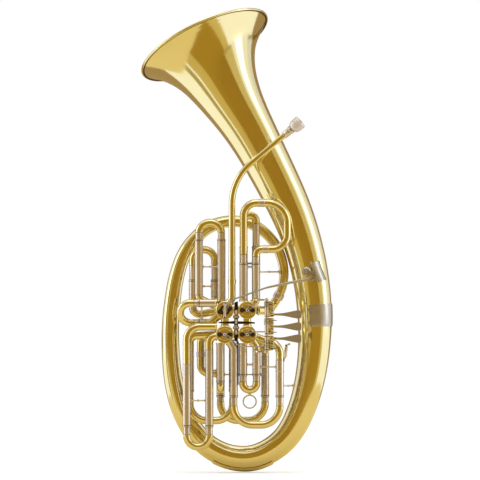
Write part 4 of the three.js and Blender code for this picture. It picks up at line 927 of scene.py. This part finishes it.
# A brass tube behind the lower left valve passes its air on to the rear low slide. Two rings,
# one of nickel silver and one of brass, cover its joints.
pass_across = -75.7
pass_low = 172
first = Vector((pass_across, rear_plane, 237.3))
slide_side = Vector((rear_low_leg - sleeve_wide / 2 - 0.1, rear_plane, pass_low))
route = bent_route([casing_seat(low_left, first), first, at_height(first, pass_low), slide_side], 14)
pass_tube = Metalwork()
pass_tube.sweep([[place, along, crook_wide / 2, leg_bore / 2] for place, along in route], 36)
lathe(pass_tube, at_height(first, 210), down, both_ends([(0, 14.2), (0.3, 15)], 9), 0, 36, 1)
lathe(pass_tube, slide_side + to_left * 3, to_right, [(0, 14), (0.4, 15.6), (2.6, 16), (3, 15.6)], 0, 36)
pass_tube.hand_over("pass_tube", "rear_pass_tube", "horn", "lacquered_brass", tube_metals)

# The leadpipe is a tapered brass tube from the upper left valve up in front of the bell, which
# it is braced to. A nickel silver receiver on its end holds the mouthpiece's shank.
leadpipe_wide = 12.6
leadpipe_narrow = 10.0
leadpipe_wall = 0.8
leadpipe_across = -20.6
brace_row = 8.44
first = Vector((leadpipe_across, front_plane, 304))
crook = Vector((57.5, front_plane, 580))
tip = Vector((70.8, front_plane - 2.4, 591))
corners = [casing_seat(top_left, first), first, at_height(first, 514.5), crook, tip]
route = bent_route(corners, [8, 95, 20], radians(3))
root, root_along = route[0]
total = (tip - root).length
leadpipe = Metalwork()
rings = []
for place, along in route:
    radius = (leadpipe_wide + (leadpipe_narrow - leadpipe_wide) * (place - root).length / total) / 2
    rings.append([place, along, radius, radius - leadpipe_wall])
leadpipe.sweep(rings, 36)
lathe(leadpipe, root, root_along, [(-0.4, 15.6), (0.2, 16), (2.6, 15.8), (3.2, 14.2), (3.4, 12.8)], 0, 36)
lathe(leadpipe, at_height(first, 330), up, both_ends([(0, 12.8), (0.3, 14)], 8), 0, 36)
middle, along, radius, _ = oval_ring(brace_row)
bell_front = middle.y - radius / cos(atan2(along.y, -along.z))
start = Vector((middle.x, front_plane + leadpipe_narrow / 2 - 0.6, middle.z))
length = bell_front - start.y + 0.6
lathe(leadpipe, start, behind, [
    (0, 8.4), (1.2, 8), (2.2, 5.2), (length / 2 - 1, 4.2), (length / 2, 5.6), (length / 2 + 1, 4.2),
    (length - 3.4, 5.4), (length - 1.8, 9), (length, 11),
], 0, 28)
leadpipe.hand_over("leadpipe_tube", "leadpipe", "horn", "lacquered_brass", [lacquered_brass])

aim = route[-1][1]
receiver_start = tip + aim * 0.3
receiver = Metalwork()
lathe(receiver, receiver_start, aim, [
    (0, 12.2), (0.4, 13), (2.2, 13), (2.6, 12.2), (3.2, 12.2), (3.6, 12.8), (11.4, 12.8), (11.8, 12),
    (12.4, 12), (13, 14), (13.5, 14.6), (16.4, 14.6), (17, 13.9),
], 10, 36)
# The ring at the receiver's mouth is painted shade, a dark ring where the cup's neck meets it.
lathe(receiver, receiver_start + aim * 16.9, aim, [(0, 13.6), (0.2, 13.4), (0.5, 12.2)], 9.8, 36, 1)
receiver.hand_over(
    "mouthpiece_socket", "mouthpiece_receiver", "horn", "nickel", [nickel_silver, painted_shade], 0.1,
)

# The mouthpiece is turned from brass and silver plated: a tapered shank, a funnel cup with a
# turned bead at its neck, and a rounded rim. Its outside is followed by its inside, back down.
silver_plate = polished_metal(
    "silver_plate", (0.66, 0.59, 0.52), (0.74, 0.67, 0.60), (0.30, 0.40), 0.02, 0.0, 0.45,
)
mouthpiece_sides = 56
mouthpiece_profile = [
    (-15, 8.2), (-14.7, 8.5), (0, 9.2), (0.4, 10.8), (1.0, 13.4), (2.0, 16.2), (3.4, 18.8), (5.2, 20.8),
    (7.4, 22.4), (10.0, 23.4), (12.4, 23.7), (14.6, 23.4), (16.0, 22.9), (16.6, 23.1), (17.4, 23.6),
    (18.4, 23.8), (19.6, 23.5), (20.7, 22.7), (21.4, 21.6), (21.7, 20.6),
    (21.8, 19.8), (21.5, 19.0), (20.7, 18.4), (19.4, 17.9), (17.0, 17.2), (14.0, 15.0), (11.0, 11.6),
    (8.0, 7.8), (6.2, 5.0), (4.0, 4.6), (-6, 5.2), (-15, 6.0),
]
mouthpiece = Metalwork()
side = (behind - aim * behind.dot(aim)).normalized()
rise = aim.cross(side)
angles = [2 * pi * k / mouthpiece_sides for k in range(mouthpiece_sides)]
spokes = [side * cos(angle) + rise * sin(angle) for angle in angles]
loops = []
for distance, wide in mouthpiece_profile:
    loops.append(mouthpiece.add_loop(receiver_start + aim * (17 + distance), spokes, wide / 2))
for here, there in zip(loops, loops[1:] + loops[:1]):
    mouthpiece.join_loops(here, there, 0)
mouthpiece.hand_over("mouthpiece_cup", "mouthpiece", "mouthpiece", "silver", [silver_plate])

# Two plates wrap the tube where it is handled: the nickel silver hand guard on the bell's side
# and the brass guard under the bottom bow. Both are soldered down at their eased edges.
guard_wall = 1.2
guard_grow = 0.5 + guard_wall
guard_ease = 0.45
worn_nickel = polished_metal(
    "worn_nickel", (0.46, 0.43, 0.38), (0.56, 0.52, 0.47), (0.2, 0.32), 0.05, 0.0, 0.85,
)
for name, node, first, last, start, stop, slot, metal in (
    ("hand_plate", "hand_guard", 15.4, 16.35, pi / 4, pi * 1.1, "nickel", worn_nickel),
    ("bow_plate", "bow_guard", 23.3, 26.45, pi * 5 / 18, pi * 13 / 18, "lacquered_brass", lacquered_brass),
):
    plate = Metalwork()
    rings = [oval_ring(row, guard_grow, guard_wall) for row in rows_between(first, last, 16)]
    for ring in (rings[0], rings[-1]):
        ring[2] -= guard_ease
    plate.sweep(rings, 56, 0, (start, stop))
    plate.hand_over(name, node, "horn", slot, [metal], 0.35)

# Each valve's front is closed by a turned brass cap with two corks, each in a round keeper
# with a bridge and two screws; keeper and bridge are painted shade. The upper left cap has a
# raised rim and a disc of painted shade as well, and its corks lie square to the thumb lever's rod.
cap_thick = 3.0
cap_back = casing_front - 0.3
cap_front = cap_back - cap_thick
arm_thick = 2.6
cork_across = 9.2
cork_radius = 3.5
keeper_across = 9.0
keeper_radius = 4.2
quarter = pi / 4
arm_reach = 7.0
thumb_pivot = Vector((110, 0, 352))
thumb_arm = 14.0
change_slope = atan2(thumb_pivot.z - thumb_arm - top_left.z - arm_reach, thumb_pivot.x - top_left.x)
dark_cork = bpy.data.materials.new("dark_cork")
dark_cork.use_nodes = True
cork = dark_cork.node_tree
pores = noise(cork, add_node(cork, "ShaderNodeTexCoord", {}).outputs["Object"], 900.0, 4.0)
fill_sockets(cork, cork.nodes["Principled BSDF"], {
    "Base Color": colour_between(cork, pores, (0.010, 0.006, 0.004), (0.045, 0.026, 0.014), 0.35, 0.7),
    "Roughness": 0.75,
    "Normal": relief(cork, pores, 0.4, 0.0002),
})


def arc_points(across, rise, radius, first, last, steps):
    """Points of an arc, with angles from the right, counter-clockwise."""
    points = []
    for k in range(steps + 1):
        angle = first + (last - first) * k / steps
        points.append((across + radius * cos(angle), rise + radius * sin(angle)))
    return points


for name, centre, slope in (
    ("top_left", top_left, change_slope), ("top_right", top_right, 0.0),
    ("low_left", low_left, 0.0), ("low_right", low_right, 0.0),
):
    cap = Metalwork()
    lathe(cap, centre + behind * cap_back, ahead, [
        (0, 31.2), (0.4, 32), (1.9, 32), (2.4, 31.2), (2.7, 29.8), (2.5, 28.6), (2.5, 21), (3.0, 20.2),
        (3.0, 8), (2.6, 7.4), (2.6, 6.2),
    ], 5.8, 56)
    for side in (-1, 1):
        cork_disc = arc_points(side * cork_across, 0, cork_radius, 0, 2 * pi, 24)[:-1]
        keeper = arc_points(side * keeper_across, 0, keeper_radius, 0, 2 * pi, 24)[:-1]
        flat_plate(cap, cork_disc, arm_thick + 0.3, set_upright(centre, cap_front - arm_thick, -slope), 1)
        # Each keeper and its bridge are painted shade, dark round the cork.
        flat_plate(cap, keeper, 0.5, set_upright(centre, cap_front - 0.3, -slope), 2)
        for rise in (-1, 1):
            screw = set_upright(centre, cap_front, -slope)(Vector((side * keeper_across, 0, rise * 6.6)))
            lathe(cap, screw, ahead, [(0, 3.2), (0.5, 3.2), (0.9, 2.4), (1.0, 1.2)], 0, 16, 0)
        bridge = [(side * 3.2, -1.4), (side * 6.0, -2.2), (side * 6.0, 2.2), (side * 3.2, 1.4)]
        flat_plate(cap, bridge, 0.4, set_upright(centre, cap_front - 0.25, -slope), 2)
    if name == "top_left":
        rim = both_ends([(0, 30), (0.3, 30.6)], 2.9)
        lathe(cap, centre + behind * (cap_front + 0.1), ahead, rim, 27.4, 56)
        # The disc in the middle of this cap is painted shade.
        lathe(cap, centre + behind * (cap_front + 0.02), ahead, [(0, 17.6), (0.15, 17.4)], 10.4, 56, 2)
    cap.hand_over(
        name + "_cap", name + "_valve_cap", "horn", "lacquered_brass",
        [lacquered_brass, dark_cork, painted_shade], 0.12,
    )

# A rotor's steel shaft stands through its cap and carries a stop arm, whose two sides strike
# the corks, and the pin that the link turns on. The upper left one has a round nickel silver
# crank bar on a stud in front of it, held by two dark screws.
rotor_back = casing_front - 0.6
arm_back = cap_front - 0.5
arm_front = arm_back - arm_thick
eye_half = 1.2
pin_wide = 2.4
link_plane = arm_front - 0.5 - eye_half
crank_stops = [
    (-14.6, 1.2), (-13.8, 2.2), (-12, 2.6), (-5, 2.2), (0, 2.5), (5, 2.2), (12, 2.6), (13.8, 2.2),
    (14.6, 1.2),
]
polished_steel = polished_metal(
    "polished_steel", (0.22, 0.19, 0.16), (0.34, 0.30, 0.26), (0.2, 0.34), 0.05, 0.0,
)


def link_pin(work, foot, along, length):
    """Adds the pin that a link's eye turns on, with its end eased."""
    lathe(work, foot, along, [(0, pin_wide), (length - 0.3, pin_wide), (length, 1.8)], 0, 20)


def stop_rotor(name, centre, arm_angle, bar=False):
    """The rotor's shaft end, hub, stop arm and link pin. Straight up is the angle zero."""
    rotor = Metalwork()
    start = centre + behind * rotor_back
    shaft = rotor_back - arm_back
    hub = shaft + arm_thick
    lathe(rotor, start, ahead, [
        (0, 5), (shaft, 5), (shaft + 0.1, 8.4), (shaft + 0.5, 9), (hub - 0.4, 9), (hub, 8.2),
    ], 0, 32)
    lathe(rotor, start + ahead * hub, ahead, [(0, 6.8), (0.4, 6.6), (1.9, 3.8), (2.0, 3.4)], 0, 32, 2)
    lathe(rotor, start + ahead * (hub + 1.9), ahead, [(0, 2.6), (0.25, 2.4)], 0, 24, 1)
    outline = arc_points(0, arm_reach, 2.5, 0, pi, 14) + [(-2.9, 1.0), (-3.6, -1.5)]
    outline += arc_points(0, 0, 4.5, pi * 1.12, pi * 1.88, 12) + [(3.6, -1.5), (2.9, 1.0)]
    flat_plate(rotor, outline, arm_thick - 0.2, set_upright(centre, arm_front + 0.1, arm_angle))
    pin = set_upright(centre, arm_back - arm_thick / 2, arm_angle)(up * arm_reach)
    top = arm_thick / 2 + 3.4
    lathe(rotor, pin, ahead, [
        (0, pin_wide), (top, pin_wide), (top + 0.1, 4.0), (top + 0.4, 4.4), (top + 0.7, 4.4), (top + 1, 3.4),
    ], 0, 20)
    if bar:
        lathe(rotor, centre + behind * (arm_front + 0.1), ahead, [(0, 5.6), (3.4, 5.6), (4.2, 5.0)], 0, 28)
        crank = []
        for rise, girth in crank_stops:
            place = Vector((centre.x + rise * 0.03, arm_front - 5.4, centre.z + rise))
            crank.append([place, up, girth, 0.0])
        rotor.sweep(crank, 20, 2)
        for rise in (-12.4, 12.4):
            screw = Vector((centre.x + rise * 0.03, arm_front - 7.2, centre.z + rise))
            lathe(rotor, screw, ahead, [(0, 3.4), (0.5, 3.2), (0.9, 2.0)], 0, 20, 1)
    rotor.hand_over(
        name + "_stop", name + "_valve_rotor", name + "_rotor", "steel",
        [polished_steel, dark_cork, nickel_silver], 0.12,
    )
    return Vector((pin.x, link_plane, pin.z))


top_pin = stop_rotor("top_right", top_right, quarter)
middle_pin = stop_rotor("low_right", low_right, quarter)
low_pin = stop_rotor("low_left", low_left, pi - quarter)
change_pin = stop_rotor("top_left", top_left, quarter - change_slope, True)

# The turned post between the four valves is solid nickel silver with grooves of painted shade,
# soldered to their casings. Behind it a cross of sheet metal in painted shade closes the gaps between the
# casings, where shadow lies.
half = pitch_up / 2
post_plane = (front_plane + casing_front) / 2 + 2
post_middle = Vector(((top_left.x + top_right.x) / 2, post_plane, (top_left.z + low_left.z) / 2))
shape = [
    (0, 7.2), (0.5, 8), (2.9, 8), (3.6, 7), (5.0, 5), (8.4, 5), (9.2, 8.6), (10.4, 11.4), (13.4, 11.4),
    (14.6, 8.2), (16.4, 5.0), (19, 4.0),
]
shape = both_ends(shape, pitch_up)
shape.insert(12, (half, 3.8))
cross = [
    (-3.4, -33), (3.0, -35), (3.6, -3.2), (33, -2.4), (33, 0.2), (18, 1.4), (3.4, 1.8), (3.2, 37),
    (-3.2, 35), (-3.4, 2.4), (-16, 1.0), (-31, 0.8), (-31, -1.6), (-3.6, -2.8),
]
post = Metalwork()
# Four of the post's grooves are painted shade.
shade_grooves = [2 if k in (6, 10, 14, 18) else 0 for k in range(len(shape))]
lathe(post, post_middle + down * half, up, shape, 0, 32, shade_grooves)
# The cross behind is painted shade, a dark sheet where shadow lies between the casings.
flat_plate(post, cross, 2.2, set_upright(post_middle, middle_plane - 8.9), 1)
post.hand_over("turned_post", "valve_post", "horn", "nickel", [nickel_silver, painted_shade, painted_shade])

# Three finger levers turn on one upright axle. Each is a nickel silver barrel with a flat
# touch that widens to the right and an arm to the back, whose pin drives the link. Beside the
# barrel a brass web with three grooves of painted shade carries a drum that a wire is wound on.
axle_x = 40.2
lever_arm = 24.0
lever_half = asin(arm_reach * sin(quarter) / lever_arm)
axle_y = link_plane - lever_arm * (1 + cos(lever_half)) / 2
link_rise = arm_reach * (1 - cos(quarter))
eye_to_arm = eye_half + 2.0
low_link_height = 220.1
barrel_ends = [213.2, 240.4, 271.2, 300.0]
touch_reach = 61.0
touch_wide = 15.0
touch_outline = [
    (0.05, 0.113), (0.16, 0.118), (0.30, 0.12), (0.38, 0.135), (0.46, 0.16), (0.54, 0.21), (0.62, 0.275),
    (0.70, 0.345), (0.78, 0.415), (0.86, 0.475), (0.91, 0.497), (0.945, 0.485), (0.97, 0.445), (0.985, 0.39),
    (0.996, 0.31), (1.0, 0.18),
]
drum_across = 9.4
coil_steps = 16


def finger_lever(name, low, high, touch_height, tip_height, arm_height):
    lever = Metalwork()
    base = Vector((axle_x, axle_y, low))
    length = high - low
    stops = both_ends([(0, 6.4), (0.3, 7.2), (1.6, 7.2), (1.9, 6.4), (2.4, 6.4), (2.7, 7.0)], length)
    # The grooves near each end of the barrel are painted shade.
    lathe(lever, base, up, stops, 4.8, 36, [0, 0, 2, 2, 2, 0, 2, 2, 2, 0, 0, 0])
    touch = at_height(base, touch_height)
    outline = [(share * touch_reach, -wide * touch_wide) for share, wide in touch_outline]
    outline += [(across, -rise) for across, rise in reversed(outline)]
    flat_plate(lever, outline, 1.8, set_upright(touch, axle_y - 0.9), 3)
    lathe(lever, touch + to_right * 3, to_right, [(0, 5.4), (1.6, 5), (3, 3.6), (5, 2.6)], 0, 20)
    toward = Vector((sin(lever_half), cos(lever_half), 0))
    sideways = Vector((toward.y, -toward.x, 0))
    tip = at_height(base + toward * lever_arm, tip_height)
    outline = [(3.0, -2.5), (lever_arm * 0.6, -2.1)] + arc_points(lever_arm, 0, 2.5, -pi / 2, pi / 2, 12)
    outline += [(lever_arm * 0.6, 2.1), (3.0, 2.5)]
    arm_top = at_height(base, arm_height + 1.5)
    flat_plate(lever, outline, 3.0, lambda p: arm_top + toward * p.x + sideways * p.z + down * p.y)
    foot = at_height(tip, arm_height)
    link_pin(lever, foot, up, tip_height + eye_half + link_rise + 0.5 - arm_height)
    lathe(lever, foot + down * 2.3, up, [(0, 3), (0.3, 3.6), (0.8, 3.6)], 0, 20)
    drum = base + Vector((drum_across, 0, 0.6))
    drum_length = length - 1.2
    stops = both_ends([(0, 6.6), (0.4, 7.4), (1.8, 7.4), (2.1, 4.6)], drum_length)
    # The drum's narrow middle under the wire is painted shade.
    lathe(lever, drum, up, stops, 0, 28, [1, 1, 1, 2, 1, 1, 1, 1])
    steps = round((drum_length - 5) / 2.8) * coil_steps
    rings = []
    for k in range(steps + 1):
        angle = 2 * pi * k / coil_steps
        place = drum + Vector((3.1 * cos(angle), 3.1 * sin(angle), 2.5 + (drum_length - 5) * k / steps))
        rings.append([place, Vector((-sin(angle), cos(angle), 0.12)).normalized(), 0.8, 0.0])
    lever.sweep(rings, 8, 1)
    # The two screws are painted shade.
    for share in (0.14, 0.86):
        screw = drum + Vector((2.6, 0, drum_length * share))
        lathe(lever, screw, to_right, [(0, 1.2), (4.6, 1.2), (5.0, 1.8), (5.8, 1.6)], 0, 12, 2)
    web = [(2.6, 0.4), (drum_across, 0.4), (drum_across, length - 0.4), (2.6, length - 0.4)]
    flat_plate(lever, web, 3.0, set_upright(base, axle_y - 1.2), 1)
    # The three grooves across the web are painted shade.
    shade_groove = [(3.4, -0.7), (8.6, -0.7), (8.6, 0.7), (3.4, 0.7)]
    for share in (0.2, 0.5, 0.8):
        flat_plate(lever, shade_groove, 0.3, set_upright(base + up * (length * share), axle_y - 1.4), 2)
    lever.hand_over(
        name + "_finger_lever", name + "_lever", name + "_lever", "nickel",
        [nickel_silver, lacquered_brass, painted_shade, worn_nickel], 0.2,
    )
    return tip


touch_heights = []
for low, high, share in zip(barrel_ends, barrel_ends[1:], (0.772, 0.487, 0.1875)):
    touch_heights.append(low + share * (high - low))
low_touch, middle_touch, top_touch = touch_heights
arm_heights = [low_link_height - eye_to_arm - link_rise, middle_pin.z - eye_to_arm, top_pin.z - eye_to_arm]
low_arm, middle_arm, top_arm = arm_heights
top_tip = finger_lever("first", barrel_ends[2] + 0.3, barrel_ends[3], top_touch, top_pin.z, top_arm)
middle_tip = finger_lever(
    "second", barrel_ends[1] + 0.3, barrel_ends[2] - 0.3, middle_touch, middle_pin.z, middle_arm,
)
low_tip = finger_lever("third", barrel_ends[0], barrel_ends[1] - 0.3, low_touch, low_link_height, low_arm)

# Each link is a nickel silver rod with an eye and a collar at both ends. The front eye turns on
# the stop arm's pin, and the wide rear one rides on the lever's upright pin. The rod of the
# thumb lever grows thicker on its way and ends in a grip.
link_radius = 1.2


def pull_link(name, node, pin, tip, between, tip_along, tip_bore, tip_outer, grip=None):
    link = Metalwork()
    stops = [pin, *between, tip]
    to_tip = (stops[1] - pin).normalized()
    to_pin = (stops[-2] - tip).normalized()
    last = tip + to_pin * ((tip_bore + tip_outer) / 4 + 0.3)
    rings = []
    bends = 6 if len(between) < 2 else [9, 60, 60]
    for place, along in bent_route([pin + to_tip * 2.5, *between, last], bends):
        swell = 0.2 + 0.9 * min(1.0, max(0.0, (place.x - 30) / 25)) if grip else 0.0
        rings.append([place, along, link_radius + swell, 0.0])
    link.sweep(rings, 20)
    for place, along, outer, bore in ((pin, behind, 7.0, 3.0), (tip, tip_along, tip_outer, tip_bore)):
        eye = both_ends([(0, outer - 0.6), (0.3, outer)], 2 * eye_half)
        lathe(link, place - along * eye_half, along, eye, bore, 36)
    rear_collar = tip + to_pin * (tip_outer / 2 - 0.2)
    for start, toward, wide in ((pin + to_tip * 3.3, to_tip, 3.0), (rear_collar, to_pin, 3.8)):
        lathe(link, start, toward, [(0, wide), (2.8, wide - 0.1), (3.4, 2.7), (4.6, 2.4)], 0, 20)
    if grip:
        held = [(0, 3.8), (0.5, 4.6), (grip - 1.2, 4.4), (grip, 2.6)]
        lathe(link, tip + to_pin * (tip_outer / 2), to_pin, held, 0, 24)
    link.hand_over(name, node, node, "nickel", [worn_nickel], 0.12)


low_corner = Vector((-6.5, link_plane, low_link_height))
for name, pin, tip, between in (
    ("first", top_pin, top_tip, []),
    ("second", middle_pin, middle_tip, []),
    ("third", low_pin, low_tip, [low_corner]),
):
    pull_link(name + "_pull_link", name + "_link", pin, tip, between, up, 3.9, 7.5)

# A coil of steel wire round each barrel brings the lever back. Each end runs a short way
# straight up or down, beside the axle.
spring_radius = 4.5
spring_wire = 0.5
spring_turns = 5
spring_steps = 24
for name, low, high in (
    ("first", top_arm + 1.8, barrel_ends[3]),
    ("second", middle_touch + 2.0, barrel_ends[2] - 0.6),
    ("third", low_arm + 1.8, low_touch - 2.0),
):
    line = [Vector((axle_x + spring_radius, axle_y, low))]
    steps = spring_turns * spring_steps
    for k in range(steps + 1):
        angle = 2 * pi * k / spring_steps
        height = low + 1 + (high - low - 2) * k / steps
        across = axle_x + spring_radius * cos(angle)
        line.append(Vector((across, axle_y + spring_radius * sin(angle), height)))
    line.append(Vector((axle_x + spring_radius, axle_y, high)))
    rings = []
    for before, place, after in zip(line[:1] + line, line, line[1:] + line[-1:]):
        rings.append([place, (after - before).normalized(), spring_wire, 0.0])
    coil = Metalwork()
    coil.sweep(rings, 12)
    coil.hand_over(name + "_coil", name + "_spring", "horn", "steel", [polished_steel])

# The lever frame is two flat nickel silver arms, soldered to slide sleeves, with a boss at
# each end of the axle. A screw locks the axle at each end.
frame_gap = 2.1
frame_top = barrel_ends[3] + frame_gap
frame_low = barrel_ends[0] - frame_gap
axle_wide = 4.0
lever_frame = Metalwork()
for sleeve_x, height in ((main_right, frame_top), (ring_right, frame_low)):
    root = Vector((sleeve_x, front_plane, height))
    boss = Vector((axle_x, axle_y, height))
    reach = (boss - root).length
    toward = (boss - root).normalized()
    sideways = Vector((toward.y, -toward.x, 0))
    edge = [(7.2, -5.4), (8.6, -5.2), (10.4, -3.8), (14, -3.3), (reach - 6, -3.1)]
    outline = edge + arc_points(reach, 0, 4.2, -pi * 0.6, pi * 0.6, 18)
    outline += [(across, -rise) for across, rise in reversed(edge)]
    flat_plate(lever_frame, outline, 3.0, lambda p: root + toward * p.x + sideways * p.z + up * (1.5 - p.y))
    lathe(lever_frame, boss + down * 1.6, up, both_ends([(0, 8.2), (0.4, 9)], 3.2), 0, 36)
axle_foot = Vector((axle_x, axle_y, frame_low))
axle_length = frame_top - frame_low
lathe(lever_frame, axle_foot, up, [(0, axle_wide), (axle_length, axle_wide)], 0, 28)
for start, toward, length in ((axle_length + 1.5, up, 1.6), (-1.5, down, 1.4)):
    screw = [(0, 5.4), (0.3, 6), (length - 0.3, 6), (length, 5.2), (length + 0.2, 3.2)]
    lathe(lever_frame, axle_foot + up * start, toward, screw, 0, 28)
lever_frame.hand_over("lever_bracket", "lever_frame", "horn", "nickel", [nickel_silver], 0.25)

# The thumb lever turns on a post soldered to the bell's tube. Its saddle fits the thumb, and
# its short arm drives the long rod to the change valve.
hub_length = 6.0
post_row = 14.5
thumb_half = asin(arm_reach * sin(quarter) / thumb_arm)
along_rod = Vector((cos(change_slope), 0, sin(change_slope)))
across_rod = Vector((sin(change_slope), 0, -cos(change_slope)))
thumb_tip = thumb_pivot + across_rod * (thumb_arm * cos(thumb_half))
thumb_tip += along_rod * (thumb_arm * sin(thumb_half))
thumb_tip.y = link_plane
rise_apart = link_rise + thumb_arm * (1 - cos(thumb_half))
rod_tip = thumb_tip + across_rod * (rise_apart / 2)
arch = [Vector((across, link_plane, rise)) for across, rise in ((-19, 302.5), (40, 323.5), (80, 332.0))]
pull_link("change_rod", "change_link", change_pin, rod_tip, arch, behind, 6.2, 9.2, 42)

tube = oval_ring(post_row)
foot_back = tube[0].y - tube[2] - 0.1
post = Metalwork()
post_length = foot_back - link_plane + 1.2
lathe(post, thumb_pivot + behind * foot_back, ahead, [
    (0, 16), (0.6, 15.6), (1.6, 14), (2.4, 10), (3.4, 7.4), (5, 6), (post_length - 0.3, 6),
    (post_length, 5.2),
], 0, 36)
post.hand_over("thumb_lever_post", "thumb_post", "horn", "nickel", [worn_nickel])

hub_front = link_plane + 1.7
hub_back = hub_front + hub_length
lever = Metalwork()
hub = both_ends([(0, 10.2), (0.4, 11), (1.8, 11), (2.1, 10.3)], hub_length)
lathe(lever, thumb_pivot + behind * hub_back, ahead, hub, 6.8, 40)
lever_angle = atan2(thumb_tip.x - thumb_pivot.x, thumb_pivot.z - thumb_tip.z)
outline = arc_points(0, -thumb_arm, 2.5, pi, 2 * pi, 12) + [(3.2, -4.0), (-3.2, -4.0)]
flat_plate(lever, outline, 3.0, set_upright(thumb_pivot, hub_front, -lever_angle))
pin_back = hub_front + 1.5
link_pin(lever, Vector((thumb_tip.x, pin_back, thumb_tip.z)), ahead, pin_back - link_plane + 2.4)
bracket = [(4.4, -5.0), (12, -4.0), (24, -4.6), (27.4, -6.4), (27.4, 2.0), (24, 0.4), (12, -0.2), (4.4, 1.6)]
flat_plate(lever, bracket, 4.0, set_upright(thumb_pivot, hub_back - hub_length / 2 - 2))

# The saddle is a bent sheet that leans towards the thumb, with its short ends flared.
saddle_radius = 20.0
saddle_wall = 1.6
saddle_length = 36
saddle_steps = 24
saddle_tilt = pi / 9
saddle_middle = thumb_pivot + Vector((29.1 - saddle_radius * cos(saddle_tilt), link_plane + 11.1, -4.4))
saddle_down = Vector((sin(saddle_tilt), 0, -cos(saddle_tilt)))
rings = []
for k in range(saddle_steps + 1):
    share = k / saddle_steps
    ease = 0.45 if k in (0, saddle_steps) else 0.0
    outer = saddle_radius + 0.9 * (2 * share - 1) ** 4 - ease
    place = saddle_middle + saddle_down * ((share - 0.5) * saddle_length)
    rings.append([place, saddle_down, outer, outer - saddle_wall + 2 * ease])
lever.sweep(rings, 24, 0, (pi * 19 / 36, pi * 11 / 12))
lever.hand_over("thumb_key", "thumb_lever", "thumb_lever", "nickel", [worn_nickel], 0.3)
